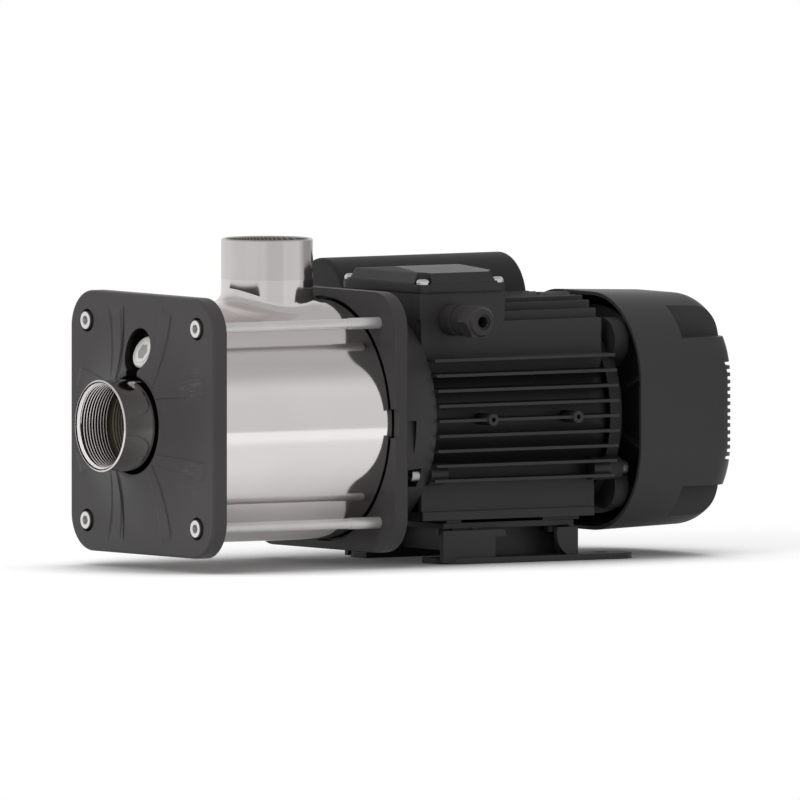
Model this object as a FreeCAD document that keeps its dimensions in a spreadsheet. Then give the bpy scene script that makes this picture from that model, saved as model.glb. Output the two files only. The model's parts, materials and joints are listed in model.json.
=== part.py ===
import FreeCAD, Part
import math
import operator
import os
import Sketcher
from FreeCAD import Placement, Rotation, Vector

# Horizontal close-coupled multistage centrifugal pump, in millimetres.
# Each piece is drawn in one common frame: x runs along the shaft from the flat face of the front
# plate towards the fan, y points away from the cable gland, and z is measured up from the shaft.
# The bodies are then placed with the origin on the floor, in the middle of the foot's bolt holes.

SIZES = {
    # Where the machine stands
    "shaft_height": 100.0,
    "foot_centre": 287.0,
    # Front plate and bracket plate
    "plate_side": 180.0,
    "plate_corner": 26.0,
    "plate_thick": 11.0,
    "plate_edge": 2.0,
    "dome_height": 8.7,
    "dome_dia": 164.0,
    "dome_land": 74.0,
    "rib_height": 0.6,
    "rib_near": 19.5,
    "rib_far": 27.0,
    "rib_fan": 0.0872,
    "rib_spread": 0.2128,
    "port_hole": 68.5,
    "plug_hole": 30.0,
    "plug_hole_up": 51.5,
    "plug_neck": 13.5,
    # Tie bolts
    "tie_spacing": 138.0,
    "tie_dia": 8.0,
    "tie_shank": 7.2,
    "tie_thread": 24.5,
    "tie_end": 160.0,
    "tie_head": 13.0,
    "tie_head_height": 8.0,
    "tie_key": 6.0,
    "tie_sink": 6.3,
    "tie_sink_dia": 15.2,
    # Pump shell and its covers
    "bracket_face": 150.0,
    "sleeve_dia": 166.2,
    "sleeve_wall": 1.5,
    "front_seat": 2.0,
    "rear_seat": 5.0,
    "register_gap": 1.5,
    "cover_wall": 2.0,
    "cover_depth": 13.0,
    "oring": 4.5,
    "fit": 0.04,
    "hole_gap": 0.1,
    # Ports
    "port_dia": 63.5,
    "thread_dia": 59.6,
    "waterway": 56.8,
    "suction_reach": 35.0,
    "thread_length": 28.0,
    "discharge_along": 103.2,
    "discharge_top": 125.7,
    "flare": 9.0,
    # Priming plug
    "plug_tilt": 23.0,
    "plug_along": 0.6,
    "plug_up": 50.5,
    "plug_collar": 23.0,
    "plug_collar_thick": 5.0,
    "plug_key": 10.0,
    "plug_thread": 16.6,
    "plug_length": 10.0,
    "plug_washer_thick": 1.5,
    "boss_dia": 22.0,
    "boss_length": 12.0,
    # Stages
    "stack_front": 34.0,
    "stage_pitch": 25.0,
    "stage_dia": 128.0,
    "stage_wall": 1.5,
    "impeller_dia": 108.0,
    "impeller_eye": 39.9,
    "shroud": 1.2,
    "vane_height": 6.0,
    "vane_thick": 1.6,
    "neck_ring": 44.0,
    "neck_gap": 0.1,
    "hub_dia": 24.0,
    "hub_length": 10.0,
    "impeller_front": 4.0,
    "guide_front": 15.5,
    # Shaft and seal
    "pump_shaft": 16.0,
    "nut_front": 30.0,
    "nut_length": 8.0,
    "nut_flats": 24.0,
    "seal_shaft": 20.0,
    "bellows_length": 13.0,
    "seal_ring_length": 6.0,
    "seal_ring_dia": 32.6,
    "seal_film": 0.05,
    "seat_length": 6.0,
    "seat_dia": 33.8,
    "slinger_dia": 40.0,
    "slinger_length": 5.0,
    # Bracket
    "lantern_front": 160.0,
    "lantern_rear": 156.0,
    "lantern_inner": 132.0,
    "motor_face": 192.0,
    "spigot": 4.0,
    "web_front": 184.0,
    "web_back": 190.0,
    "bearing_lip": 2.0,
    "flat_length": 13.6,
    "flat_height": 34.0,
    "flat_out": 75.8,
    "drain_width": 36.0,
    "drain_length": 9.0,
    "plate_opening": 90.0,
    "notch": 20.0,
    "notch_depth": 2.6,
    # Bearings
    "drive_bore": 20.0,
    "drive_outer": 47.0,
    "drive_width": 14.0,
    "drive_front": 172.0,
    "rear_bore": 17.0,
    "rear_outer": 40.0,
    "rear_width": 12.0,
    "rear_front": 343.0,
    "ball_share": 0.59,
    # Motor
    "motor_end": 340.4,
    "core_dia": 120.0,
    "core_bore": 66.0,
    "core_front": 222.0,
    "core_length": 90.0,
    "rotor_gap": 0.5,
    "rotor_bore": 28.0,
    "coil_length": 18.0,
    "cage_ring": 8.0,
    "frame_dia": 129.0,
    "fin_pitch": 10.4,
    "fin_thick": 2.0,
    "fin_reach": 82.0,
    "fin_drop": 6.0,
    "shoulder_out": 58.6,
    "shoulder_top": 66.6,
    "shoulder_wall": 4.0,
    "top_fin_pitch": 8.4,
    "top_fin_height": 81.0,
    "base_top": -63.7,
    "base_bottom": -69.7,
    "lug_radius": 74.0,
    "lug_dia": 16.0,
    "lug_length": 14.0,
    "screw_dia": 6.0,
    "plate_boss": 8.0,
    "plate_boss_along": 235.5,
    "plate_boss_spacing": 70.0,
    # Terminal box
    "box_front": 192.0,
    "box_back": 260.4,
    "box_far": 39.4,
    "box_top": 86.8,
    "box_wall": 4.0,
    "box_floor": 70.0,
    "gasket": 0.8,
    "lid_overhang": 1.2,
    "lid_rim": 7.1,
    "lid_rise": 6.2,
    "lid_ridge": 3.0,
    "lid_corner": 6.0,
    "lid_screw_inset": 5.0,
    # Cable gland
    "gland_along": 217.0,
    "gland_up": 68.7,
    "gland_dia": 22.0,
    "gland_thread": 16.0,
    "gland_hex": 21.6,
    "gland_body": 13.0,
    "gland_collar": 12.0,
    "gland_dome": 15.5,
    "cable_hole": 8.0,
    # Capacitor
    "cap_front": 196.0,
    "cap_back": 346.5,
    "cap_near": 43.0,
    "cap_radius": 32.0,
    "cap_middle": 74.0,
    "cap_bottom": 48.0,
    "cap_wall": 2.5,
    "cap_can": 40.0,
    "cap_can_length": 100.0,
    # Fan cover and rear end
    "shield_thick": 9.6,
    "shield_dia": 140.0,
    "hood_front": 358.0,
    "ear_out": 50.0,
    "ear_dia": 32.0,
    "hood_back": 442.0,
    "hood_side": 164.6,
    "hood_corner": 61.0,
    "hood_wall": 2.5,
    "hood_draft": 2.0,
    "hood_round": 20.0,
    "hood_pocket": 51.0,
    "hood_pocket_floor": 398.0,
    "hood_post": 57.0,
    "slot_pitch": 5.0,
    "slot_height": 2.8,
    "fan_dia": 144.0,
    "fan_front": 366.0,
    "fan_length": 20.0,
    "fan_bore": 14.0,
    # Foot
    "foot_length": 160.0,
    "foot_width": 132.0,
    "foot_corner": 16.0,
    "foot_thick": 4.0,
    "foot_step": 6.0,
    "foot_web": 236.0,
    "foot_drop": 5.0,
    "foot_clear": 70.0,
    "foot_lift": 8.0,
    "foot_wall": 62.0,
    "foot_front": 208.0,
    "foot_back": 319.0,
    "foot_deck": -72.0,
    "foot_bolt_x": 120.0,
    "foot_bolt_y": 96.0,
    "foot_hole": 11.0,
}

OPERATIONS = {"+": operator.add, "-": operator.sub, "*": operator.mul, "/": operator.truediv}


class Size:
    """A size from the sheet, or a formula of sizes, with its present value."""

    def __init__(self, value, text):
        self.value = float(value)
        self.text = text

    def __float__(self):
        return self.value

    def __add__(self, other):
        return formula(self, "+", other)

    def __radd__(self, other):
        return formula(other, "+", self)

    def __sub__(self, other):
        return formula(self, "-", other)

    def __rsub__(self, other):
        return formula(other, "-", self)

    def __mul__(self, other):
        return formula(self, "*", other)

    def __rmul__(self, other):
        return formula(other, "*", self)

    def __truediv__(self, other):
        return formula(self, "/", other)

    def __neg__(self):
        return formula(0, "-", self)


def as_size(number):
    """Give a plain number the same form as a size."""
    if isinstance(number, Size):
        return number
    return Size(number, "(%r)" % float(number))


def formula(left, sign, right):
    """Join two sizes into a formula that the sheet can follow."""
    left, right = as_size(left), as_size(right)
    value = OPERATIONS[sign](left.value, right.value)
    return Size(value, "(%s %s %s)" % (left.text, sign, right.text))


def root(size):
    """The square root of a size."""
    return Size(math.sqrt(size.value), "sqrt(%s)" % size.text)


def polar(radius, degrees):
    """A point on the shaft's cross-section, counted from +y towards +z."""
    turn = math.radians(degrees)
    return radius * math.cos(turn), radius * math.sin(turn)


class Sheet:
    """The named sizes, each of them an aliased cell of the spreadsheet."""

    def __init__(self, document, sizes):
        cells = document.addObject("Spreadsheet::Sheet", "Sizes")
        for row, (name, value) in enumerate(sizes.items(), start=1):
            cells.set("A%d" % row, name)
            cells.set("B%d" % row, str(value))
            cells.setAlias("B%d" % row, name)
            setattr(self, name, Size(value, "Sizes." + name))


doc = FreeCAD.newDocument("multistage_pump")
S = Sheet(doc, SIZES)
doc.recompute()


def bind(item, name, size):
    """Tie a property to the sheet."""
    item.setExpression(name, as_size(size).text)


def body(label, along=0.0, side=0.0, up=0.0):
    """A new sub-part, placed in the common frame."""
    owner = doc.addObject("PartDesign::Body", label)
    owner.Label = label
    settle(owner, along, side, up)
    return owner


def settle(item, along=0.0, side=0.0, up=0.0):
    """Place a sub-part from its position along, beside and above the shaft."""
    bind(item, "Placement.Base.x", along - S.foot_centre)
    bind(item, "Placement.Base.y", side)
    bind(item, "Placement.Base.z", S.shaft_height + up)


def origin_feature(owner, role):
    """One of the body's own origin planes or axes."""
    return [item for item in owner.Origin.OriginFeatures if item.Role == role][0]


def sketch(owner, plane, offset=0.0, turn=0.0):
    """A sketch on an origin plane, moved along the plane's normal and turned about its first axis."""
    drawing = owner.newObject("Sketcher::SketchObject", owner.Name + "_sketch")
    drawing.AttachmentSupport = [(origin_feature(owner, plane + "_Plane"), "")]
    drawing.MapMode = "FlatFace"
    drawing.AttachmentOffset = Placement(Vector(0, 0, float(offset)), Rotation(Vector(1, 0, 0), float(turn)))
    bind(drawing, "AttachmentOffset.Base.z", offset)
    return drawing


def constrain(drawing, rules):
    """Add constraints, and tie each one that has a size to the sheet."""
    numbers = drawing.addConstraint([rule for rule, size in rules])
    for number, (rule, size) in zip(numbers, rules):
        if size is not None and "Sizes." in as_size(size).text:
            drawing.setExpression("Constraints[%d]" % number, size.text)


def hold(index, point, x, y):
    """Rules that hold a point of a sketch at its place."""
    return [
        (Sketcher.Constraint("DistanceX", -1, 1, index, point, float(x)), x),
        (Sketcher.Constraint("DistanceY", -1, 1, index, point, float(y)), y),
    ]


def arc_between(start, end, radius):
    """The short arc from start to end, with its centre on the left for a positive radius."""
    chord = end - start
    reach = math.sqrt(max(radius * radius - chord.Length ** 2 / 4, 0.0))
    left = Vector(-chord.y, chord.x, 0).normalize()
    centre = (start + end) / 2 + left * math.copysign(reach, radius)
    first, last = (start, end) if radius > 0 else (end, start)
    angles = [math.atan2(point.y - centre.y, point.x - centre.x) for point in (first, last)]
    return Part.ArcOfCircle(Part.Circle(centre, Vector(0, 0, 1), abs(radius)), angles[0], angles[1])


def outline(drawing, points):
    """A closed outline. A point with a third value starts an arc of that radius."""
    corners = [Vector(float(point[0]), float(point[1]), 0) for point in points]
    ends = []
    rules = []
    for number, point in enumerate(points):
        start, end = corners[number], corners[(number + 1) % len(points)]
        if len(point) == 3:
            bend = float(point[2])
            index = drawing.addGeometry(arc_between(start, end, bend), False)
            ends.append((index, 1, 2) if bend > 0 else (index, 2, 1))
            size = point[2] if bend > 0 else -as_size(point[2])
            rules.append((Sketcher.Constraint("Radius", index, abs(bend)), size))
        else:
            index = drawing.addGeometry(Part.LineSegment(start, end), False)
            ends.append((index, 1, 2))
    for number, (index, first, last) in enumerate(ends):
        following = ends[(number + 1) % len(ends)]
        rules.append((Sketcher.Constraint("Coincident", index, last, following[0], following[1]), None))
        rules += hold(index, first, points[number][0], points[number][1])
    constrain(drawing, rules)
    return drawing


def circles(drawing, centres, diameter):
    """Circles of one size at the given places."""
    rules = []
    for x, y in centres:
        index = drawing.addGeometry(Part.Circle(Vector(float(x), float(y), 0), Vector(0, 0, 1),
                                                float(diameter) / 2), False)
        rules += hold(index, 3, x, y)
        rules.append((Sketcher.Constraint("Diameter", index, float(diameter)), diameter))
    constrain(drawing, rules)
    return drawing


def rounded_corners(low_x, low_y, high_x, high_y, radius):
    """The points of a rectangle with round corners."""
    return [
        (low_x + radius, low_y), (high_x - radius, low_y, radius),
        (high_x, low_y + radius), (high_x, high_y - radius, radius),
        (high_x - radius, high_y), (low_x + radius, high_y, radius),
        (low_x, high_y - radius), (low_x, low_y + radius, radius),
    ]


def box_corners(low_x, low_y, high_x, high_y):
    """The points of a plain rectangle."""
    return [(low_x, low_y), (high_x, low_y), (high_x, high_y), (low_x, high_y)]


def square_corners(half, radius):
    """The points of a centred square with round corners."""
    return rounded_corners(-half, -half, half, half, radius)


def hexagon(flats, y=0.0, z=0.0):
    """The points of a hexagon with the given width across its flats."""
    corners = [polar(flats / math.sqrt(3), 60 * number) for number in range(6)]
    return [(y + corner[0], z + corner[1]) for corner in corners]


def pad(owner, drawing, length, draft=None):
    """Add material along the sketch's normal."""
    feature = owner.newObject("PartDesign::Pad", owner.Name + "_pad")
    feature.Profile = drawing
    bind(feature, "Length", length)
    if draft is not None:
        bind(feature, "TaperAngle", draft)
    return feature


def cut(owner, drawing, length):
    """Take material away along the sketch's normal."""
    feature = owner.newObject("PartDesign::Pocket", owner.Name + "_cut")
    feature.Profile = drawing
    feature.Reversed = True
    bind(feature, "Length", length)
    return feature


def turned(owner, points, kind="Revolution", axis="H_Axis"):
    """Turn an outline about the x axis, or about the z axis with the other name."""
    return turned_from(owner, outline(sketch(owner, "XZ"), points), kind, axis)


def turned_from(owner, drawing, kind="Revolution", axis="H_Axis"):
    """Turn a sketch about one of its own axes."""
    feature = owner.newObject("PartDesign::" + kind, owner.Name + "_turned")
    feature.Profile = drawing
    feature.ReferenceAxis = (drawing, [axis])
    feature.Angle = 360
    return feature


def repeat(owner, feature, count):
    """Repeat a feature evenly about the body's x axis."""
    pattern = owner.newObject("PartDesign::PolarPattern", owner.Name + "_pattern")
    pattern.Originals = [feature]
    pattern.Axis = (origin_feature(owner, "X_Axis"), [""])
    pattern.Angle = 360
    pattern.Occurrences = count
    owner.Tip = pattern
    return pattern


def round_edges(owner, radius, wanted):
    """Round the edges of the body's last feature that pass the test."""
    doc.recompute()
    base = owner.Tip
    names = ["Edge%d" % (number + 1) for number, edge in enumerate(base.Shape.Edges) if wanted(edge)]
    feature = owner.newObject("PartDesign::Fillet", owner.Name + "_round")
    feature.Base = (base, names)
    bind(feature, "Radius", radius)
    return feature


def lies_at(edge, along):
    """Whether an edge lies in the plane across the shaft at this place."""
    box = edge.BoundBox
    return abs(box.XMin - float(along)) < 0.01 and abs(box.XMax - float(along)) < 0.01


def four_corners(half_y, half_z):
    """Four places, one in each quarter of the cross-section."""
    return [(-half_y, -half_z), (half_y, -half_z), (half_y, half_z), (-half_y, half_z)]


def vane(inner, outer, sweep, bend, thick):
    """The outline of one curved vane between two radii."""
    turn = math.degrees(float(thick) / float(outer))
    root_turn = math.degrees(float(thick) / float(inner))
    near, far = polar(inner, 0), polar(outer, sweep)
    far_back, near_back = polar(outer, sweep + turn), polar(inner, root_turn)
    return [(near[0], near[1], bend), far, (far_back[0], far_back[1], -bend), near_back]


def cosine(size):
    """The cosine of an angle in degrees."""
    return Size(math.cos(math.radians(size.value)), "cos(%s)" % size.text)


def sine(size):
    """The sine of an angle in degrees."""
    return Size(math.sin(math.radians(size.value)), "sin(%s)" % size.text)


def tube_corners(front, back, inner, outer):
    """The profile of a plain ring."""
    return [(front, inner), (back, inner), (back, outer), (front, outer)]


def square_plate(owner, front, thick):
    """One of the two square plates that the tie bolts join."""
    shape = square_corners(S.plate_side / 2, S.plate_corner)
    pad(owner, outline(sketch(owner, "YZ", front), shape), thick)


def joined(kind, label, base, tool):
    """One solid from two by cutting or joining."""
    result = doc.addObject("Part::" + kind, label)
    result.Label = label
    result.Base = base
    result.Tool = tool
    return result


def front_ribs(bend):
    """The eight low ribs that run over the dome and fade out on the flat."""
    owner = body("face_ribs")
    rim, land = S.dome_dia / 2, S.dome_land / 2
    high = S.rib_height
    turned(owner, [(3.0, land), (-S.dome_height - high, land, bend), (-high, rim), (0.5, rim + 8.0), (3.0, rim + 8.0)])
    front = -S.dome_height - high - 1.0
    near, far = S.rib_near, S.rib_far
    narrow, wide = near - S.rib_fan * 33, near + S.rib_fan * 67
    cut_to = S.rib_height + S.dome_height + 5.0
    between = [(-narrow, as_size(0.0)), (narrow, as_size(0.0)), (wide, as_size(100.0)), (-wide, as_size(100.0))]
    repeat(owner, cut(owner, outline(sketch(owner, "YZ", front), between), cut_to), 4)
    crossing = (far - S.rib_spread * 33) / (1 - S.rib_spread)
    edge = far + S.rib_spread * 67
    corner = [(crossing, crossing), (as_size(100.0), edge), (as_size(100.0), as_size(100.0)), (edge, as_size(100.0))]
    repeat(owner, cut(owner, outline(sketch(owner, "YZ", front), corner), cut_to), 4)
    return owner


def front_plate():
    owner = body("face_plate")
    square_plate(owner, 0.0, S.plate_thick)
    round_edges(owner, S.plate_edge, lambda edge: lies_at(edge, 0.0))
    rim, land = S.dome_dia / 2, S.dome_land / 2
    bend = ((rim - land) * (rim - land) + S.dome_height * S.dome_height) / (S.dome_height * 2)
    turned(owner, [(5.0, 0.0), (-S.dome_height, 0.0), (-S.dome_height, land, bend), (0.0, rim), (5.0, rim)])
    front = -S.dome_height - S.rib_height - 1.0
    depth = S.plate_thick - front
    cut(owner, circles(sketch(owner, "YZ", front), [(0.0, 0.0)], S.port_hole), depth)
    cut(owner, circles(sketch(owner, "YZ", front), [(0.0, S.plug_hole_up)], S.plug_hole), depth)
    neck = box_corners(-S.plug_neck / 2, 20.0, S.plug_neck / 2, S.plug_hole_up)
    cut(owner, outline(sketch(owner, "YZ", front), neck), depth)
    cut(owner, circles(sketch(owner, "YZ", S.plate_thick - 4.0), [(0.0, 46.5)], 32.0), 5.0)
    half = S.tie_spacing / 2
    holes = four_corners(half, half)
    cut(owner, circles(sketch(owner, "YZ", front), holes, S.tie_dia + 1.0), depth)
    cut(owner, circles(sketch(owner, "YZ", front), holes, S.tie_sink_dia), S.tie_sink - front)
    outer = S.sleeve_dia / 2
    groove = tube_corners(S.plate_thick - S.front_seat, S.plate_thick + 1.0, outer - 4.0, outer + S.register_gap)
    turned(owner, groove, "Groove")
    joined("Fuse", "front_plate", owner, front_ribs(bend))


def tie_bolts():
    owner = body("tie_bolts")
    half = S.tie_spacing / 2
    places = four_corners(half, half)
    head_front = S.tie_sink - S.tie_head_height
    thread_front = S.bracket_face - S.tie_thread
    pad(owner, circles(sketch(owner, "YZ", head_front), places, S.tie_head), S.tie_head_height)
    round_edges(owner, 0.9, lambda edge: lies_at(edge, head_front))
    pad(owner, circles(sketch(owner, "YZ", S.tie_sink), places, S.tie_shank), thread_front - S.tie_sink)
    pad(owner, circles(sketch(owner, "YZ", thread_front), places, S.tie_dia), S.tie_end - thread_front)
    keys = sketch(owner, "YZ", head_front)
    for y, z in places:
        outline(keys, hexagon(S.tie_key, y, z))
    cut(owner, keys, 5.0)


def pump_sleeve():
    owner = body("pump_sleeve")
    outer, wall = S.sleeve_dia / 2, S.sleeve_wall
    front, back = S.plate_thick - S.front_seat, S.bracket_face + S.rear_seat
    turned(owner, [(front, 0.0), (back, 0.0), (back, outer), (front, outer)])
    centre = [(S.discharge_along, 0.0)]
    collar_top = S.discharge_top - 27.7
    pad(owner, circles(sketch(owner, "XY"), centre, S.port_dia), collar_top)
    round_edges(owner, S.flare, lambda edge: edge.BoundBox.ZMax < 90 and edge.BoundBox.ZMin > 70
                and edge.BoundBox.XLength > 20)
    bore = outer - wall
    turned(owner, [(front - 1.0, 0.0), (back + 1.0, 0.0), (back + 1.0, bore), (front - 1.0, bore)], "Groove")
    mouth = S.port_dia - wall * 2
    cut(owner, circles(sketch(owner, "XY", 40.0), centre, mouth), collar_top)
    round_edges(owner, S.flare + wall, lambda edge: edge.BoundBox.ZMax < 82 and edge.BoundBox.ZMin > 70
                and edge.BoundBox.XLength > 20 and edge.BoundBox.XMin > 50)


def discharge_port():
    owner = body("discharge_port", S.discharge_along)
    outer, thread, water = S.port_dia / 2, S.thread_dia / 2, S.waterway / 2
    top = S.discharge_top
    low = top - 27.7
    turned(owner, [
        (water, low), (outer, low), (outer, top - 0.8), (outer - 0.8, top),
        (thread + 1.0, top), (thread, top - 1.0), (thread, low + 4.0), (water, low + 4.0),
    ], axis="V_Axis")


def channel_corners(face, turn, inner):
    """The profile of a pump cover's wall with its O-ring channel, from the rim back to the inner edge."""
    lip = S.sleeve_dia / 2 - S.sleeve_wall - 0.3
    wall, depth = S.cover_wall, S.cover_depth
    floor = lip - S.oring + 0.2
    ring = floor - wall
    return [
        (face, inner), (face, lip), (face + wall * turn, lip), (face + wall * turn, floor),
        (face + (depth - wall) * turn, floor), (face + (depth - wall) * turn, lip),
        (face + depth * turn, lip), (face + depth * turn, ring), (face + wall * turn, ring),
    ]


def plug_place(depth):
    """A place on the priming plug's axis, as far below the face of its collar."""
    return S.plug_along + cosine(S.plug_tilt) * depth, S.plug_up - sine(S.plug_tilt) * depth


def plug_sketch(owner, depth):
    """A sketch across the priming plug's axis that looks out of the pump."""
    along, up = plug_place(depth)
    drawing = sketch(owner, "YZ", along, 180.0 + float(S.plug_tilt))
    bind(drawing, "AttachmentOffset.Base.y", up)
    bind(drawing, "AttachmentOffset.Rotation.Angle", 180 + S.plug_tilt)
    return drawing


def inlet_cover():
    owner = body("inlet_cover")
    face, reach = S.plate_thick, S.suction_reach
    outer, thread, water = S.port_dia / 2, S.thread_dia / 2, S.waterway / 2
    step = S.thread_length - reach
    profile = channel_corners(face, 1, outer)
    profile += [
        (face + S.cover_wall, water), (step, water), (step, thread), (1.0 - reach, thread),
        (-reach, thread + 1.0), (-reach, outer - 0.8), (0.8 - reach, outer),
    ]
    turned(owner, profile)
    top = S.plug_collar_thick + S.plug_washer_thick
    bottom = top + S.boss_length
    pad(owner, circles(plug_sketch(owner, bottom), [(0.0, 0.0)], S.boss_dia), S.boss_length)
    drawing = circles(plug_sketch(owner, bottom + 2.0), [(0.0, 0.0)], S.plug_thread + S.hole_gap)
    cut(owner, drawing, S.boss_length + 3.0)


def placed_on_plug_axis(label):
    """A sub-part whose own x axis is the axis of the priming plug."""
    owner = doc.addObject("PartDesign::Body", label)
    owner.Label = label
    owner.Placement = Placement(Vector(), Rotation(Vector(0, 1, 0), 180.0 + float(S.plug_tilt)))
    bind(owner, "Placement.Rotation.Angle", 180 + S.plug_tilt)
    settle(owner, S.plug_along, 0.0, S.plug_up)
    return owner


def priming_plug():
    owner = placed_on_plug_axis("priming_plug")
    collar, thick = S.plug_collar / 2, S.plug_collar_thick
    back = -thick - S.plug_washer_thick
    shank = S.plug_thread / 2
    turned(owner, [
        (back - S.plug_length, 0.0), (0.0, 0.0), (0.0, collar - 1.0), (-1.0, collar),
        (-thick, collar), (-thick, shank), (1.0 + back - S.plug_length, shank),
        (back - S.plug_length, shank - 1.0),
    ])
    turned(owner, [(-0.6, 8.2), (1.0, 8.2), (1.0, 9.2), (-0.6, 9.2)], "Groove")
    cut(owner, outline(sketch(owner, "YZ", -8.0), hexagon(S.plug_key)), 9.0)


def plug_washer():
    owner = placed_on_plug_axis("plug_washer")
    front = -S.plug_collar_thick
    back = front - S.plug_washer_thick
    turned(owner, tube_corners(back, front, S.plug_thread / 2 + 0.3, S.boss_dia / 2 - 0.5))


def sleeve_orings():
    owner = body("sleeve_orings")
    lip = S.sleeve_dia / 2 - S.sleeve_wall
    centre = lip - S.oring / 2 - 0.05
    places = [(S.plate_thick + S.cover_depth / 2, centre), (seal_plate_face() - S.cover_depth / 2, centre)]
    turned_from(owner, circles(sketch(owner, "XZ"), places, S.oring))


def inlet_spacer():
    owner = body("inlet_spacer")
    outer = S.stage_dia / 2
    turned(owner, tube_corners(S.plate_thick + S.cover_wall, S.stack_front, outer - S.stage_wall, outer))


def stage_front(number):
    """Where a stage begins."""
    return S.stack_front + S.stage_pitch * number


def stage_chamber(number):
    owner = body("stage_chamber_%d" % (number + 1), stage_front(number))
    outer, wall, pitch = S.stage_dia / 2, S.stage_wall, S.stage_pitch
    turned(owner, [
        (0.0, S.neck_ring / 2), (wall, S.neck_ring / 2), (wall, outer - wall), (pitch, outer - wall),
        (pitch, outer), (0.0, outer),
    ])
    guide = S.guide_front
    turned(owner, tube_corners(guide - wall, guide, S.hub_dia / 2 + 1.0, outer - wall - 3.0))
    blade = vane(26.0, outer - wall * 0.5, 48.0, 60.0, 2.0)
    drawing = outline(sketch(owner, "YZ", guide - wall * 0.5), blade)
    repeat(owner, pad(owner, drawing, pitch - guide + wall * 0.5), 6)


def neck_rings():
    owner = body("neck_rings")
    drawing = sketch(owner, "XZ")
    outer = (S.neck_ring - S.fit) / 2
    inner = S.impeller_eye / 2 + S.neck_gap
    for number in range(4):
        front = stage_front(number)
        outline(drawing, tube_corners(front, front + 3.0, inner, outer))
    turned_from(owner, drawing)


def impeller(number):
    owner = body("impeller_%d" % (number + 1), stage_front(number) + S.impeller_front)
    rim, eye, hub = S.impeller_dia / 2, S.impeller_eye / 2, S.hub_dia / 2
    bore = S.pump_shaft / 2 + S.fit / 2
    shroud, high = S.shroud, S.vane_height
    back = shroud + high
    turned(owner, [
        (-5.0, eye - 2.0), (-5.0, eye), (0.0, eye), (0.0, rim), (shroud, rim), (shroud, eye - 2.0),
    ])
    turned(owner, [
        (0.0, bore), (0.0, hub), (back, hub), (back, rim), (back + shroud, rim), (back + shroud, hub),
        (S.hub_length, hub), (S.hub_length, bore),
    ])
    blade = vane(eye + 1.0, rim - 0.5, -75.0, -42.0, S.vane_thick)
    drawing = outline(sketch(owner, "YZ", shroud / 2), blade)
    repeat(owner, pad(owner, drawing, high + shroud), 6)


def impeller_spacers():
    owner = body("impeller_spacers")
    bore = S.pump_shaft / 2 + S.fit / 2
    drawing = sketch(owner, "XZ")
    for number in range(3):
        front = stage_front(number) + S.impeller_front + S.hub_length
        back = stage_front(number + 1) + S.impeller_front
        outline(drawing, tube_corners(front, back, bore, S.hub_dia / 2 - 1.0))
    last = stage_front(3) + S.impeller_front + S.hub_length
    outline(drawing, tube_corners(last, bellows_front(), bore, S.hub_dia / 2 - 1.0))
    turned_from(owner, drawing)


def impeller_nut():
    owner = body("impeller_nut")
    front = stage_front(0) + S.impeller_front - S.nut_length
    pad(owner, outline(sketch(owner, "YZ", front), hexagon(S.nut_flats)), S.nut_length)
    cut(owner, circles(sketch(owner, "YZ", front - 1.0), [(0.0, 0.0)], S.pump_shaft + S.fit), S.nut_length + 2)


def seal_plate_face():
    """The rear face of the pump's rear cover."""
    return S.bracket_face + S.rear_seat


def seat_front():
    """The face that the shaft seal runs on."""
    return seal_plate_face() - S.cover_wall - S.seat_length


def bellows_front():
    """Where the rubber bellows of the shaft seal begins."""
    return seat_front() - S.seal_film - S.seal_ring_length - S.bellows_length


def discharge_ring():
    owner = body("discharge_ring")
    outer = S.stage_dia / 2
    front, back = stage_front(4), seal_plate_face() - S.cover_wall
    turned(owner, tube_corners(front, back, outer - S.stage_wall, outer))
    window = outline(sketch(owner, "XY"), box_corners(front + 4.0, -9.0, back - 4.0, 9.0))
    repeat(owner, cut(owner, window, outer + 5.0), 8)


def seal_plate():
    owner = body("seal_plate")
    face = seal_plate_face()
    bore = S.pump_shaft / 2 + 4.2
    cup = (S.seat_dia + S.fit) / 2
    wall = face - S.cover_wall
    profile = channel_corners(face, -1, bore)
    profile += [
        (wall, cup + S.cover_wall), (wall - 8.0, cup + S.cover_wall), (wall - 8.0, cup), (wall, cup), (wall, bore),
    ]
    turned(owner, profile)


def shaft_seal():
    """The stationary seat, the ring that turns against it and the rubber bellows that drives it."""
    seat = body("seal_seat")
    front = seat_front()
    turned(seat, tube_corners(front, front + S.seat_length, 12.5, S.seat_dia / 2))
    ring = body("seal_ring")
    turned(ring, tube_corners(front - S.seal_film - S.seal_ring_length, front - S.seal_film, 11.0,
                              S.seal_ring_dia / 2))
    bellows = body("seal_bellows", bellows_front())
    bore = S.pump_shaft / 2 + S.fit / 2
    turned(bellows, [
        (0.0, bore), (S.bellows_length, bore), (S.bellows_length, 15.0), (10.0, 15.0), (9.0, 11.0), (7.5, 14.5),
        (6.0, 11.0), (4.5, 14.5), (3.0, 11.0), (2.0, 13.0), (0.0, 13.0),
    ])


front_plate()
tie_bolts()
pump_sleeve()
discharge_port()
inlet_cover()
priming_plug()
plug_washer()
sleeve_orings()
inlet_spacer()
for stage in range(4):
    stage_chamber(stage)
    impeller(stage)
neck_rings()
impeller_spacers()
impeller_nut()
discharge_ring()
seal_plate()
shaft_seal()


def three_places(radius):
    """The three screw places around the motor's ends, one of them on top."""
    return [polar(radius, turn) for turn in (90, 210, 330)]


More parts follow.
